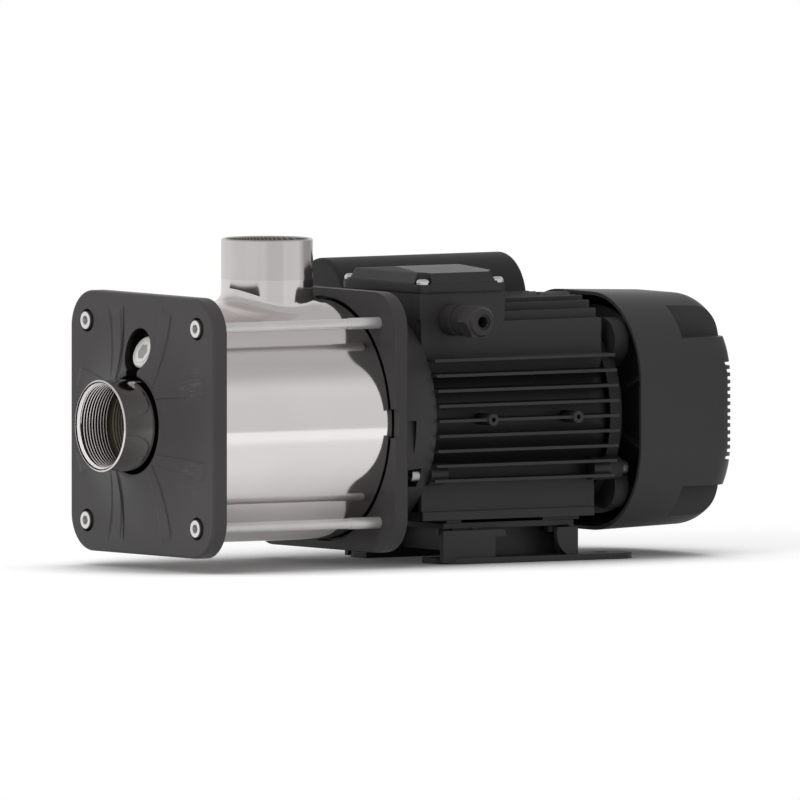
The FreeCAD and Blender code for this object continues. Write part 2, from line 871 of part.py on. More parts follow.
def motor_bracket():
    owner = body("motor_bracket")
    face, thick = S.bracket_face, S.plate_thick
    back = face + thick
    square_plate(owner, face, thick)
    round_edges(owner, S.plate_edge, lambda edge: lies_at(edge, back))
    drum, wall = S.lantern_front / 2, S.lantern_inner / 2
    spigot = (S.core_dia + S.fit) / 2
    seat = (S.drive_outer + S.fit) / 2
    turned(owner, [(back - 2.0, wall), (back - 2.0, drum), (S.motor_face, S.lantern_rear / 2),
                   (S.motor_face, spigot), (S.motor_face + S.spigot, spigot),
                   (S.motor_face + S.spigot, spigot - 4.0), (S.web_back, spigot - 4.0), (S.web_back, seat),
                   (S.drive_front, seat), (S.drive_front, 17.0), (S.drive_front - 4.0, 17.0),
                   (S.drive_front - 4.0, 30.0), (S.web_front, 30.0), (S.web_front, wall)])
    recess = S.sleeve_dia + S.register_gap * 2
    cut(owner, circles(sketch(owner, "YZ", face - 1.0), [(0.0, 0.0)], recess), S.rear_seat + 1)
    cut(owner, circles(sketch(owner, "YZ", face), [(0.0, 0.0)], S.plate_opening), thick)
    notch = box_corners(-100.0, -S.notch / 2, -80.0, S.notch / 2)
    cut(owner, outline(sketch(owner, "YZ", face - 1.0), notch), S.notch_depth + 1)
    half = S.tie_spacing / 2
    holes = four_corners(half, half)
    cut(owner, circles(sketch(owner, "YZ", face - 1.0), holes, S.tie_dia + S.hole_gap), thick + 2)
    screws = three_places(S.lug_radius)
    cut(owner, circles(sketch(owner, "YZ", back), screws, S.lug_dia + 1.0), S.web_front - back)
    cut(owner, circles(sketch(owner, "YZ", back), screws, S.screw_dia + 0.5), S.motor_face - back + 1)
    flats = sketch(owner, "YZ", back)
    outline(flats, box_corners(-95.0, -S.flat_height, -S.flat_out, 1.0))
    outline(flats, box_corners(S.flat_out, -S.flat_height, 95.0, 1.0))
    cut(owner, flats, S.flat_length)
    half = S.drain_width / 2
    drain = outline(sketch(owner, "YZ", back + 2.0), box_corners(-half, -95.0, half, -50.0))
    cut(owner, drain, S.drain_length)


def socket_screws(label, places, seat, head, head_high, shank, length, key, toward=1):
    """A set of cap screws whose heads sit on a face across the shaft and whose shanks run from it."""
    owner = body(label)
    front = seat - head_high
    pad(owner, circles(sketch(owner, "YZ", front), places, head), head_high)
    pad(owner, circles(sketch(owner, "YZ", seat), places, shank), length)
    keys = sketch(owner, "YZ", front)
    for y, z in places:
        outline(keys, hexagon(key, y, z))
    cut(owner, keys, head_high * 0.6)


def rear_screws(label, places, seat, head, head_high, shank, length, key):
    """A set of cap screws with their heads towards the fan."""
    owner = body(label)
    pad(owner, circles(sketch(owner, "YZ", seat), places, head), head_high)
    pad(owner, circles(sketch(owner, "YZ", seat - length), places, shank), length)
    keys = sketch(owner, "YZ", seat + head_high * 0.4)
    for y, z in places:
        outline(keys, hexagon(key, y, z))
    cut(owner, keys, head_high)


def upright(owner, points, low, high):
    """Add a shape seen from above between two heights over the shaft."""
    return pad(owner, outline(sketch(owner, "XY", low), points), high - low)


def motor_housing():
    owner = body("motor_housing")
    front, back = S.motor_face, S.motor_end
    length = back - front
    shell = S.frame_dia / 2
    half = S.fin_thick / 2
    pad(owner, circles(sketch(owner, "YZ", front), [(0.0, 0.0)], S.frame_dia), length)
    fins = sketch(owner, "YZ", front)
    for level in range(-4, 5):
        middle = S.fin_pitch * level
        inner = math.sqrt(float(shell) ** 2 - float(middle) ** 2) - 3.0
        tip = S.fin_reach - S.fin_drop * (level / 4) ** 2
        outline(fins, box_corners(-tip, middle - half, -inner, middle + half))
        outline(fins, box_corners(inner, middle - half, tip, middle + half))
    pad(owner, fins, length)
    out, wall, top = S.shoulder_out, S.shoulder_wall, S.shoulder_top
    shoulders = sketch(owner, "YZ", front)
    outline(shoulders, box_corners(-out, 30.0, wall - out, top))
    outline(shoulders, [(out, 28.0), (out, top), (40.0, top), (40.0, 46.0)])
    pad(owner, shoulders, length)
    flanks = sketch(owner, "YZ", front)
    outline(flanks, box_corners(-out, S.base_top - 2.0, wall - out, -30.0))
    outline(flanks, box_corners(out - wall, S.base_top - 2.0, out, -30.0))
    pad(owner, flanks, length - 6.0)
    slab = box_corners(-60.5, S.base_bottom, 60.5, S.base_top)
    pad(owner, outline(sketch(owner, "YZ", front), slab), length - 7.0)
    feet = sketch(owner, "XY", S.foot_deck)
    outline(feet, box_corners(214.0, -57.0, 226.0, 57.0))
    outline(feet, box_corners(293.0, -57.0, 323.0, 57.0))
    pad(owner, feet, S.base_top - S.foot_deck - 2.0)
    uprights = sketch(owner, "YZ", S.box_back - 2.0)
    for number in range(11):
        y = S.top_fin_pitch * number - 50.6
        reach = math.sqrt(88.7 ** 2 - float(y) ** 2)
        inner = math.sqrt(float(shell) ** 2 - float(y) ** 2) - 3.0
        tip = S.top_fin_height if reach > float(S.top_fin_height) else reach
        outline(uprights, box_corners(y - half, inner, y + half, tip))
    pad(owner, uprights, back - S.box_back + 2.0)
    box = box_corners(-out, 40.0, S.box_far, S.box_top)
    pad(owner, outline(sketch(owner, "YZ", front), box), S.box_back - front)
    cavity_front, cavity_back = S.box_front + S.box_wall, S.box_back - S.box_wall
    near, far = S.box_wall - out, S.box_far - S.box_wall
    cavity = box_corners(cavity_front, near, cavity_back, far)
    cut(owner, outline(sketch(owner, "XY", S.box_floor), cavity), 40.0)
    trough = box_corners(200.0, near, 236.0, -34.0)
    cut(owner, outline(sketch(owner, "XY", 55.0), trough), 40.0)
    posts = sketch(owner, "XY", S.box_floor - 1.0)
    for along, side in lid_screw_places():
        outline(posts, box_corners(along - 4.5, side - 3.5, along + 4.5, side + 3.5))
    pad(owner, posts, S.box_top - S.box_floor + 1.0)
    cut(owner, circles(sketch(owner, "XY", S.box_top - 12.0), lid_screw_places(), 4.0 + S.hole_gap), 20.0)
    places = three_places(S.lug_radius)
    pad(owner, circles(sketch(owner, "YZ", front), places, S.lug_dia), S.lug_length)
    pad(owner, circles(sketch(owner, "YZ", back - S.lug_length), places, S.lug_dia), S.lug_length)
    bore = S.core_dia + S.fit * 2
    cut(owner, circles(sketch(owner, "YZ", front - 1.0), [(0.0, 0.0)], bore), length + 2.0)
    thread = S.screw_dia + S.hole_gap
    cut(owner, circles(sketch(owner, "YZ", front - 1.0), places, thread), 13.0)
    cut(owner, circles(sketch(owner, "YZ", back - 12.0), places, thread), 13.0)
    cut(owner, circles(sketch(owner, "XY", S.foot_deck - 1.0), foot_screw_places(), thread), 9.0)
    cut(owner, circles(sketch(owner, "XY", top - 9.0), cap_screw_places(), 4.0 + S.hole_gap), 12.0)
    gland = sketch(owner, "XZ", 40.0)
    cut(owner, circles(gland, [(S.gland_along, S.gland_up)], S.gland_thread + S.hole_gap), 25.0)
    rivets = [(S.plate_boss_along, 0.0), (S.plate_boss_along + S.plate_boss_spacing, 0.0)]
    pad(owner, circles(sketch(owner, "XZ", shell - 1.0), rivets, S.plate_boss), S.fin_reach + 2.5 - shell)
    cut(owner, circles(sketch(owner, "XZ", shell + 0.5), rivets, 3.2), 25.0)


def lid_screw_places():
    """The four places of the terminal lid's screws, seen from above."""
    inset = S.lid_screw_inset - S.lid_overhang
    low, high = S.box_front + inset, S.box_back - inset
    near, far = inset - S.shoulder_out, S.box_far - inset
    return [(low, near), (high, near), (high, far), (low, far)]


def cap_screw_places():
    """The two places of the screws that hold the capacitor's tray, seen from above."""
    side = S.shoulder_out - 5.6
    return [(S.cap_front + 11.0, side), (S.cap_back - 11.0, side)]


def foot_screw_places():
    """The four places of the screws that hold the foot, seen from above."""
    return [(220.0, -45.0), (308.0, -45.0), (308.0, 45.0), (220.0, 45.0)]


def terminal_lid():
    owner = body("terminal_lid")
    over, out = S.lid_overhang, S.shoulder_out
    low = S.box_top + S.gasket
    rim, slope = S.box_top + S.gasket + S.lid_rim, S.box_top + S.gasket + S.lid_rim + S.lid_rise
    front, back, near, far = S.box_front - over, S.box_back + over, -out - over, S.box_far + over
    shape = rounded_corners(front, near, back, far, S.lid_corner)
    upright(owner, shape, low, rim)
    crown(owner, (front + 1.4, back - 1.4, near + 1.4, far - 1.4), rim,
          (front + 4.5, back - 4.5, near + 4.5, far - 4.5), slope)
    crown(owner, (front + 4.5, back - 4.5, near + 4.5, far - 4.5), slope,
          (front + 9.0, back - 9.0, near + 43.0, far - 52.0), slope + S.lid_ridge)
    inner = box_corners(front + 4.0, near + 4.0, back - 4.0, far - 4.0)
    cut(owner, outline(sketch(owner, "XY", low - 1.0), inner), S.lid_rim - 1.5)
    for along, side in lid_screw_places():
        post = upright(owner, box_corners(along - 4.0, side - 4.0, along + 4.0, side + 4.0), low, rim - 1.0)
    cut(owner, circles(sketch(owner, "XY", rim - 1.4), lid_screw_places(), 11.4), 20.0)
    cut(owner, circles(sketch(owner, "XY", low - 1.0), lid_screw_places(), 4.5), 20.0)


def crown(owner, base, low, top, high):
    """A low roof with sloping sides between two rectangles seen from above."""
    wedge = owner.newObject("PartDesign::AdditiveWedge", owner.Name + "_crown")
    wedge.Placement = Placement(Vector(), Rotation(Vector(1, 0, 0), 90))
    bind(wedge, "Ymax", high)
    bind(wedge, "Ymin", low)
    for name, size in (("Xmin", base[0]), ("Xmax", base[1]), ("Zmin", -base[3]), ("Zmax", -base[2]),
                       ("X2min", top[0]), ("X2max", top[1]), ("Z2min", -top[3]), ("Z2max", -top[2])):
        bind(wedge, name, size)
    return wedge


def lid_gasket():
    owner = body("lid_gasket")
    inset = S.box_wall + 5.5
    out = S.shoulder_out
    whole = box_corners(S.box_front, -out, S.box_back, S.box_far)
    upright(owner, whole, S.box_top, S.box_top + S.gasket)
    hole = box_corners(S.box_front + inset, inset - out, S.box_back - inset, S.box_far - inset)
    cut(owner, outline(sketch(owner, "XY", S.box_top - 1.0), hole), 4.0)
    cut(owner, circles(sketch(owner, "XY", S.box_top - 1.0), lid_screw_places(), 4.5), 4.0)


def lid_screws():
    owner = body("lid_screws")
    seat = S.box_top + S.gasket + S.lid_rim - 1.4
    pad(owner, circles(sketch(owner, "XY", seat), lid_screw_places(), 9.2), 3.8)
    round_edges(owner, 2.4, lambda edge: edge.BoundBox.ZMin > float(seat) + 3.5)
    pad(owner, circles(sketch(owner, "XY", seat - 14.0), lid_screw_places(), 4.0), 14.0)
    slots = sketch(owner, "XY", seat + 2.4)
    for along, side in lid_screw_places():
        outline(slots, box_corners(along - 0.5, side - 2.2, along + 0.5, side + 2.2))
    cut(owner, slots, 3.0)


def terminals():
    """The moulded block in the box with its six studs, and the earth screw."""
    block = body("terminal_block")
    floor = S.box_floor
    upright(block, box_corners(212.0, -26.0, 240.0, 18.0), floor, floor + 8.0)
    walls = sketch(block, "XY", floor + 7.0)
    for y in (-26.0, -11.8, 2.4, 16.0):
        outline(walls, box_corners(212.0, y, 240.0, y + 2.0))
    pad(block, walls, 4.0)
    studs = [(219.0, y) for y in (-17.9, -3.7, 10.2)] + [(233.0, y) for y in (-17.9, -3.7, 10.2)]
    cut(block, circles(sketch(block, "XY", floor + 2.0), studs, 4.0 + S.hole_gap), 20.0)
    posts = body("terminal_studs")
    pad(posts, circles(sketch(posts, "XY", floor + 2.0), studs, 4.0), 12.0)
    nuts = sketch(posts, "XY", floor + 8.0)
    for along, side in studs:
        outline(nuts, hexagon(7.0, along, side))
    pad(posts, nuts, 3.2)
    earth = body("earth_screw")
    spot = [(248.0, -20.0)]
    pad(earth, circles(sketch(earth, "XY", floor), spot, 8.0), 3.0)
    cut(earth, outline(sketch(earth, "XY", floor + 1.6), box_corners(247.4, -23.0, 248.6, -17.0)), 3.0)


def placed_on_gland(label):
    """A sub-part whose own x axis is the axis of the cable gland."""
    owner = doc.addObject("PartDesign::Body", label)
    owner.Label = label
    owner.Placement = Placement(Vector(), Rotation(Vector(0, 0, 1), -90))
    settle(owner, S.gland_along, -S.shoulder_out, S.gland_up)
    return owner


def cable_gland():
    """The gland body, its rubber seal and the dome nut that squeezes it."""
    base = placed_on_gland("gland_body")
    radius, thread = S.gland_dia / 2, S.gland_thread / 2
    bore = S.cable_hole / 2 + 2.6
    collar = S.gland_body + S.gland_collar
    turned(base, [(-4.0, bore), (-4.0, thread), (0.0, thread), (0.0, radius), (S.gland_body, radius),
                  (S.gland_body, radius - 1.0), (S.gland_body + 1.6, radius - 1.0), (S.gland_body + 1.6, radius - 0.2),
                  (collar, radius - 0.2), (collar, radius - 2.5), (collar + 9.0, radius - 2.5),
                  (collar + 9.0, bore)])
    nut = placed_on_gland("gland_nut")
    front = collar + S.gland_dome
    inner = radius - 2.4
    flats = outline(sketch(nut, "YZ", collar), hexagon(S.gland_hex))
    pad(nut, flats, S.gland_dome)
    cut(nut, circles(sketch(nut, "YZ", collar - 1.0), [(0.0, 0.0)], inner * 2), 11.5)
    cut(nut, circles(sketch(nut, "YZ", collar - 1.0), [(0.0, 0.0)], 10.8), S.gland_dome + 2.0)
    turned(nut, [(front - 6.0, radius + 3.0), (front - 3.4, radius - 0.6), (front - 0.8, radius - 1.8),
                 (front, radius - 2.8), (front + 1.0, radius - 2.8), (front + 1.0, radius + 3.0)], "Groove")
    turned(nut, [(collar - 1.0, radius + 0.4), (collar + 0.8, radius + 2.6), (collar - 1.0, radius + 2.6)], "Groove")
    seal = placed_on_gland("gland_seal")
    turned(seal, [(collar - 6.0, S.cable_hole / 2), (collar - 6.0, bore - 0.05), (collar + 10.0, bore - 0.05),
                  (collar + 10.0, 5.2), (front - 1.0, 5.2), (front - 1.0, S.cable_hole / 2)])


def capacitor_parts():
    """The capacitor's cover, its tray, the can and two screws."""
    cover = body("capacitor_cover")
    wall, radius, near = S.cap_wall, S.cap_radius, S.cap_near
    far, middle, low = near + radius * 2, S.cap_middle, S.cap_bottom
    step, top = S.shoulder_out + 0.4, S.shoulder_top
    length = S.cap_back - S.cap_front
    high = middle + radius
    shape = [(near, top), (step, top), (step, low), (far, low), (far, middle, radius),
             (far - radius, high, radius), (near, middle)]
    pad(cover, outline(sketch(cover, "YZ", S.cap_front), shape), length)
    round_edges(cover, 3.0, lambda edge: (lies_at(edge, S.cap_front) or lies_at(edge, S.cap_back))
                and edge.BoundBox.ZMax > 73.0)
    inner = radius - wall
    hollow = [(near + wall, top - 1.0), (step + wall, top - 1.0), (step + wall, low - 1.0),
              (far - wall, low - 1.0), (far - wall, middle, inner), (far - radius, high - wall, inner),
              (near + wall, middle)]
    cut(cover, outline(sketch(cover, "YZ", S.cap_front + wall), hollow), length - wall * 2)
    tray = body("capacitor_base")
    gap, thick = 0.3, 2.5
    front = S.cap_front + wall + gap
    strip = [(near + wall + gap, top), (step + wall + gap, top), (step + wall + gap, low), (far - wall - gap, low),
             (far - wall - gap, low + thick), (step + wall + gap + thick, low + thick),
             (step + wall + gap + thick, top + thick), (near + wall + gap, top + thick)]
    pad(tray, outline(sketch(tray, "YZ", front), strip), length - wall * 2 - gap * 2)
    can_y, can_z = 83.8, 74.5
    can = S.cap_can / 2
    saddles = sketch(tray, "XY", low + thick - 0.5)
    for along in (235.0, 285.0):
        outline(saddles, box_corners(along, 76.0, along + 8.0, 92.0))
    pad(tray, saddles, can_z - can - low - thick + 0.5)
    posts = cap_screw_places()
    cut(tray, circles(sketch(tray, "XY", top - 1.0), posts, 4.3), 6.0)
    tin = body("capacitor")
    pad(tin, circles(sketch(tin, "YZ", 216.0), [(can_y, can_z)], S.cap_can), S.cap_can_length)
    round_edges(tin, 2.0, lambda edge: True)
    tabs = sketch(tin, "YZ", 212.0)
    outline(tabs, box_corners(can_y - 6.0, can_z - 3.0, can_y - 5.2, can_z + 3.0))
    outline(tabs, box_corners(can_y + 5.2, can_z - 3.0, can_y + 6.0, can_z + 3.0))
    pad(tin, tabs, 6.0)
    screws = body("capacitor_screws")
    pad(screws, circles(sketch(screws, "XY", top + thick), posts, 7.6), 2.6)
    pad(screws, circles(sketch(screws, "XY", top - 8.0), posts, 4.0), 8.0 + thick)


def stator():
    """The laminated core with its slots, and the windings that fill them."""
    front, length = S.core_front, S.core_length
    core = body("stator_core")
    pad(core, circles(sketch(core, "YZ", front), [(0.0, 0.0)], S.core_dia), length)
    bore = sketch(core, "YZ", front - 1.0)
    cut(core, circles(bore, [(0.0, 0.0)], S.core_bore), length + 2.0)
    inner = S.core_bore / 2
    opening = box_corners(inner - 2.0, -1.0, inner + 3.0, 1.0)
    repeat(core, cut(core, outline(sketch(core, "YZ", front - 1.0), opening), length + 2.0), 24)
    slot = [(inner + 2.0, -2.6), (inner + 16.0, -4.2), (inner + 16.0, 4.2), (inner + 2.0, 2.6)]
    repeat(core, cut(core, outline(sketch(core, "YZ", front - 1.0), slot), length + 2.0), 24)
    coils = body("stator_windings")
    reach = S.coil_length
    low, high = inner + 4.0, inner + 15.5
    for ring_front in (front - reach, front + length + 0.4):
        turned(coils, tube_corners(ring_front, ring_front + reach - 0.4, low - 1.0, high + 5.0))
    bar = [(low, -2.5), (high, -3.8), (high, 3.8), (low, 2.5)]
    drawing = outline(sketch(coils, "YZ", front - 2.0), bar)
    repeat(coils, pad(coils, drawing, length + 4.0), 24)


def rotor():
    """The rotor's laminated core and its cast cage."""
    core = body("rotor_core")
    front, length = S.core_front, S.core_length
    outer = S.core_bore - S.rotor_gap * 2
    bars = [polar(27.5, 18 * number) for number in range(20)]
    pad(core, circles(sketch(core, "YZ", front), [(0.0, 0.0)], outer), length)
    cut(core, circles(sketch(core, "YZ", front - 1.0), [(0.0, 0.0)], S.rotor_bore + S.fit), length + 2.0)
    cut(core, circles(sketch(core, "YZ", front - 1.0), bars, 5.0 + S.fit), length + 2.0)
    cage = body("rotor_cage")
    ring = S.cage_ring
    for ring_front in (front - ring, front + length):
        turned(cage, tube_corners(ring_front, ring_front + ring, 20.0, outer / 2 - 1.0))
    pad(cage, circles(sketch(cage, "YZ", front - 1.0), bars, 5.0), length + 2.0)


def motor_shaft():
    owner = body("motor_shaft")
    front = stage_front(0) + S.impeller_front - S.nut_length - 2.0
    slim, drive, rear = S.pump_shaft / 2, S.drive_bore / 2, S.rear_bore / 2
    shoulder, seat, end = 13.0, S.rotor_bore / 2, 392.0
    drive_end = S.drive_front + S.drive_width
    cage = S.cage_ring
    tail = S.fan_bore / 2
    clip = S.fan_front + S.fan_length
    rear_end = S.rear_front + S.rear_width
    turned(owner, [
        (front, 0.0), (end, 0.0), (end, tail - 0.8), (end - 0.8, tail), (clip + 1.4, tail),
        (clip + 1.4, tail - 0.7), (clip, tail - 0.7), (clip, tail), (rear_end + 4.0, tail),
        (rear_end + 2.0, rear), (S.rear_front, rear), (S.rear_front, 11.5), (S.core_front + S.core_length + cage, 11.5),
        (S.core_front + S.core_length + cage, seat), (S.core_front - cage, seat), (S.core_front - cage, shoulder),
        (drive_end, shoulder), (drive_end, drive), (165.0, drive), (165.0, slim), (front + 1.0, slim),
        (front, slim - 1.0),
    ])


def water_slinger():
    owner = body("water_slinger")
    bore = S.pump_shaft / 2 + S.fit / 2
    back = 165.0
    front = back - S.slinger_length
    turned(owner, [(front, bore), (front, 12.0), (back - 2.0, 14.0), (back - 2.0, S.slinger_dia / 2 - 3.0),
                   (front + 1.0, S.slinger_dia / 2), (back, S.slinger_dia / 2 - 1.0), (back, bore)])


def bearing_sizes():
    """The front, width, bore, outside and ball size of the two bearings."""
    share = S.ball_share / 2
    return [
        (S.drive_front, S.drive_width, S.drive_bore, S.drive_outer, (S.drive_outer - S.drive_bore) * share),
        (S.rear_front, S.rear_width, S.rear_bore, S.rear_outer, (S.rear_outer - S.rear_bore) * share),
    ]


def bearing_rings(label, outside):
    """The outer rings or the inner rings of both bearings, with their ball tracks."""
    owner = body(label)
    rings, tracks = sketch(owner, "XZ"), sketch(owner, "XZ")
    for front, width, bore, outer, ball in bearing_sizes():
        middle = (bore + outer) / 4
        land = ball * 0.3
        inner = (bore + S.fit) / 2
        corners = (middle + land, outer / 2) if outside else (inner, middle - land)
        outline(rings, tube_corners(front, front + width, corners[0], corners[1]))
        circles(tracks, [(front + width / 2, middle)], ball + S.fit)
    turned_from(owner, rings)
    turned_from(owner, tracks, "Groove")


def bearing_balls():
    owner = body("bearing_balls")
    for front, width, bore, outer, size in bearing_sizes():
        ball = owner.newObject("PartDesign::AdditiveSphere", "ball")
        ball.Placement = Placement(Vector(0, 0, 0), Rotation())
        bind(ball, "Radius", size / 2)
        bind(ball, "Placement.Base.x", front + width / 2)
        bind(ball, "Placement.Base.z", (bore + outer) / 4)
        repeat(owner, ball, 8)


def bearing_spring():
    owner = body("bearing_spring")
    front = S.rear_front + S.rear_width
    outer = S.rear_outer / 2 - 0.5
    turned(owner, [(front, outer), (front + 0.6, outer), (front + 2.0, 15.0), (front + 1.4, 15.0)])


def rear_end_shield():
    owner = body("rear_end_shield")
    front, thick = S.motor_end, S.shield_thick
    back = front + thick
    spigot = (S.core_dia + S.fit) / 2
    seat = (S.rear_outer + S.fit) / 2
    stop = S.rear_front + S.rear_width + 2.0
    turned(owner, [
        (front - 4.0, spigot - 4.0), (front - 4.0, spigot), (front, spigot), (front, S.shield_dia / 2),
        (back, S.shield_dia / 2), (back, 25.0), (stop + 3.0, 25.0), (stop + 3.0, 9.5), (stop, 9.5), (stop, seat),
        (front, seat), (front, 25.0), (front + 4.0, 25.0), (front + 4.0, spigot - 4.0),
    ])
    places = three_places(S.lug_radius)
    pad(owner, circles(sketch(owner, "YZ", front), places, S.lug_dia), thick)
    start = S.cap_back + 0.5
    arms = sketch(owner, "YZ", start)
    for turn in (45, 135, 225, 315):
        across, along = polar(1.0, turn)
        corners = [(60.0, -15.0), (71.0, -15.0), (71.0, 15.0), (60.0, 15.0)]
        outline(arms, [(r * across - t * along, r * along + t * across) for r, t in corners])
    pad(owner, arms, S.hood_front - start)
    post = S.hood_post
    posts = four_corners(post, post)
    pad(owner, circles(sketch(owner, "YZ", start), four_corners(S.ear_out, S.ear_out), S.ear_dia), S.hood_front - start)
    floor = S.hood_pocket_floor - S.hood_wall
    pad(owner, circles(sketch(owner, "YZ", start), posts, 11.0), floor - start)
    cut(owner, circles(sketch(owner, "YZ", floor - 15.0), posts, 5.0 + S.hole_gap), 16.0)
    cut(owner, circles(sketch(owner, "YZ", front - 1.0), places, S.screw_dia + 0.5), thick + 2.0)
    cut(owner, circles(sketch(owner, "YZ", back), places, 11.0), S.hood_front - back + 1.0)


def hood_solid(label, inset):
    """The outside of the fan cover, or its inside when inset by the wall."""
    owner = body(label)
    half, corner = S.hood_side / 2 - inset, S.hood_corner - inset
    front = S.hood_front - inset
    length = S.hood_back - inset - front
    shape = square_corners(half, corner)
    pad(owner, outline(sketch(owner, "YZ", front), shape), length, -S.hood_draft)
    rear = S.hood_back - inset
    round_edges(owner, S.hood_round - inset, lambda edge: lies_at(edge, rear))
    low = S.hood_pocket - inset
    pockets = sketch(owner, "YZ", S.hood_pocket_floor - inset)
    for across, up in ((-1, -1), (1, -1), (1, 1), (-1, 1)):
        y = sorted((low * across, as_size(100.0 * across)), key=float)
        z = sorted((low * up, as_size(100.0 * up)), key=float)
        outline(pockets, box_corners(y[0], z[0], y[1], z[1]))
    cut(owner, pockets, 60.0)
    return owner


def fan_cover():
    outside = hood_solid("hood_outside", as_size(0.0))
    inside = hood_solid("hood_inside", S.hood_wall)
    shell = joined("Cut", "hood_shell", outside, inside)
    slots = body("hood_slots")
    drawing = sketch(slots, "YZ", S.hood_back - 14.0)
    half = S.slot_height / 2
    for number in range(14):
        middle = S.slot_pitch * (number - 6.5)
        outline(drawing, box_corners(-77.0, middle - half, 77.0, middle + half))
    pad(slots, drawing, 20.0)
    grille = joined("Cut", "hood_grille", shell, slots)
    ribs = body("hood_ribs")
    drawing = sketch(ribs, "YZ", S.hood_back - S.hood_wall - 3.0)
    for y in (-50.0, -25.0, 0.0, 25.0, 50.0):
        outline(drawing, box_corners(y - 1.2, -36.0, y + 1.2, 36.0))
    pad(ribs, drawing, 3.2)
    posts = four_corners(S.hood_post, S.hood_post)
    screws = body("hood_holes")
    front = S.hood_pocket_floor - S.hood_wall
    pad(screws, circles(sketch(screws, "YZ", front - 1.0), posts, 5.5), S.hood_wall + 2.0)
    ribbed = joined("Fuse", "hood_ribbed", grille, ribs)
    return joined("Cut", "fan_cover", ribbed, screws)


def cooling_fan():
    owner = body("cooling_fan")
    front, length = S.fan_front, S.fan_length
    bore = (S.fan_bore + S.fit) / 2
    rim = S.fan_dia / 2
    disc = front + 8.0
    turned(owner, [(front, bore), (front, 12.0), (disc, 12.0), (disc, rim), (disc + 2.0, rim), (disc + 2.0, 12.0),
                   (front + length, 12.0), (front + length, bore)])
    blade = outline(sketch(owner, "YZ", front + 1.0), box_corners(20.0, -1.0, rim - 1.0, 1.0))
    repeat(owner, pad(owner, blade, length - 2.0), 9)


def fan_clip():
    owner = body("fan_clip")
    front = S.fan_front + S.fan_length
    inner = S.fan_bore / 2 - 0.7
    turned(owner, tube_corners(front, front + 1.2, inner + 0.05, inner + 3.6))
    gap = outline(sketch(owner, "YZ", front - 1.0), box_corners(2.0, -2.0, 14.0, 2.0))
    cut(owner, gap, 4.0)


def motor_foot():
    owner = body("motor_foot")
    floor, thick = -S.shaft_height, S.foot_thick
    front, back = S.foot_front, S.foot_front + S.foot_length
    side, wall = S.foot_width / 2, S.foot_wall
    upright(owner, rounded_corners(front, -side, back, side, S.foot_corner), floor, floor + thick)
    deck = S.foot_deck
    inner, rear = wall - S.foot_step, S.foot_back - thick
    upright(owner, box_corners(front + 4.0, -inner, S.foot_back, inner), deck - thick, deck)
    for along in (S.foot_web, rear):
        upright(owner, box_corners(along, -inner, along + thick, inner), floor + 1.0, deck - 1.0)
    upright(owner, box_corners(S.foot_web + 1.0, -2.0, rear + 1.0, 2.0), floor + 1.0, deck - 1.0)
    clear = S.foot_clear / 2
    for y in (-clear - thick, clear):
        upright(owner, box_corners(S.foot_web + 1.0, y, rear + 1.0, y + thick), floor + 1.0, deck - 1.0)
    top = deck - S.foot_drop
    for y in (-wall, wall - thick):
        upright(owner, box_corners(front, y, S.foot_back, y + thick), floor + 1.0, top)
    low = floor + thick
    for y in (wall + 1.0, thick + 1.0 - wall):
        window = sketch(owner, "XZ", y)
        bend = (low - top - 1.0) * 0.8
        outline(window, [(251.0, low), (310.0, low, bend), (303.0, top + 1.0), (258.0, top + 1.0), (260.0, top - 5.0),
                         (251.0, top - 5.0)])
        pocket = cut(owner, window, thick + 2.0)
        pocket.Reversed = False
    cut(owner, outline(sketch(owner, "XY", floor - 1.0), box_corners(front - 1.0, -clear, back + 1.0, clear)), S.foot_lift)
    half_x, half_y = S.foot_bolt_x / 2, S.foot_bolt_y / 2
    middle = S.foot_centre
    bolts = [(middle - half_x, -half_y), (middle + half_x, -half_y), (middle + half_x, half_y),
             (middle - half_x, half_y)]
    cut(owner, circles(sketch(owner, "XY", floor - 1.0), bolts, S.foot_hole), thick + 2.0)
    cut(owner, circles(sketch(owner, "XY", deck - thick - 1.0), foot_screw_places(), S.screw_dia + 0.5), 6.0)


def foot_screws():
    owner = body("foot_screws")
    seat = S.foot_deck - S.foot_thick
    pad(owner, circles(sketch(owner, "XY", seat - 5.0), foot_screw_places(), 10.0), 5.0)
    pad(owner, circles(sketch(owner, "XY", seat), foot_screw_places(), S.screw_dia), 11.5)
    keys = sketch(owner, "XY", seat - 5.0)
    for along, side in foot_screw_places():
        outline(keys, hexagon(4.0, along, side))
    cut(owner, keys, 3.0)


motor_bracket()
socket_screws("bracket_screws", three_places(S.lug_radius), S.web_front, 10.0, 6.0, S.screw_dia, 16.0, 5.0)
motor_housing()
terminal_lid()
lid_gasket()
lid_screws()
terminals()
cable_gland()
capacitor_parts()
stator()
rotor()
motor_shaft()
water_slinger()
bearing_rings("bearing_outer_rings", True)
bearing_rings("bearing_inner_rings", False)
bearing_balls()
bearing_spring()
rear_end_shield()
rear_screws("end_shield_screws", three_places(S.lug_radius), S.motor_end + S.shield_thick, 10.0, 6.0,
            S.screw_dia, 16.0, 5.0)
cooling_fan()
fan_clip()
fan_cover()
rear_screws("fan_cover_screws", four_corners(S.hood_post, S.hood_post), S.hood_pocket_floor, 9.5, 3.4, 5.0,
            13.0, 4.0)
motor_foot()
foot_screws()


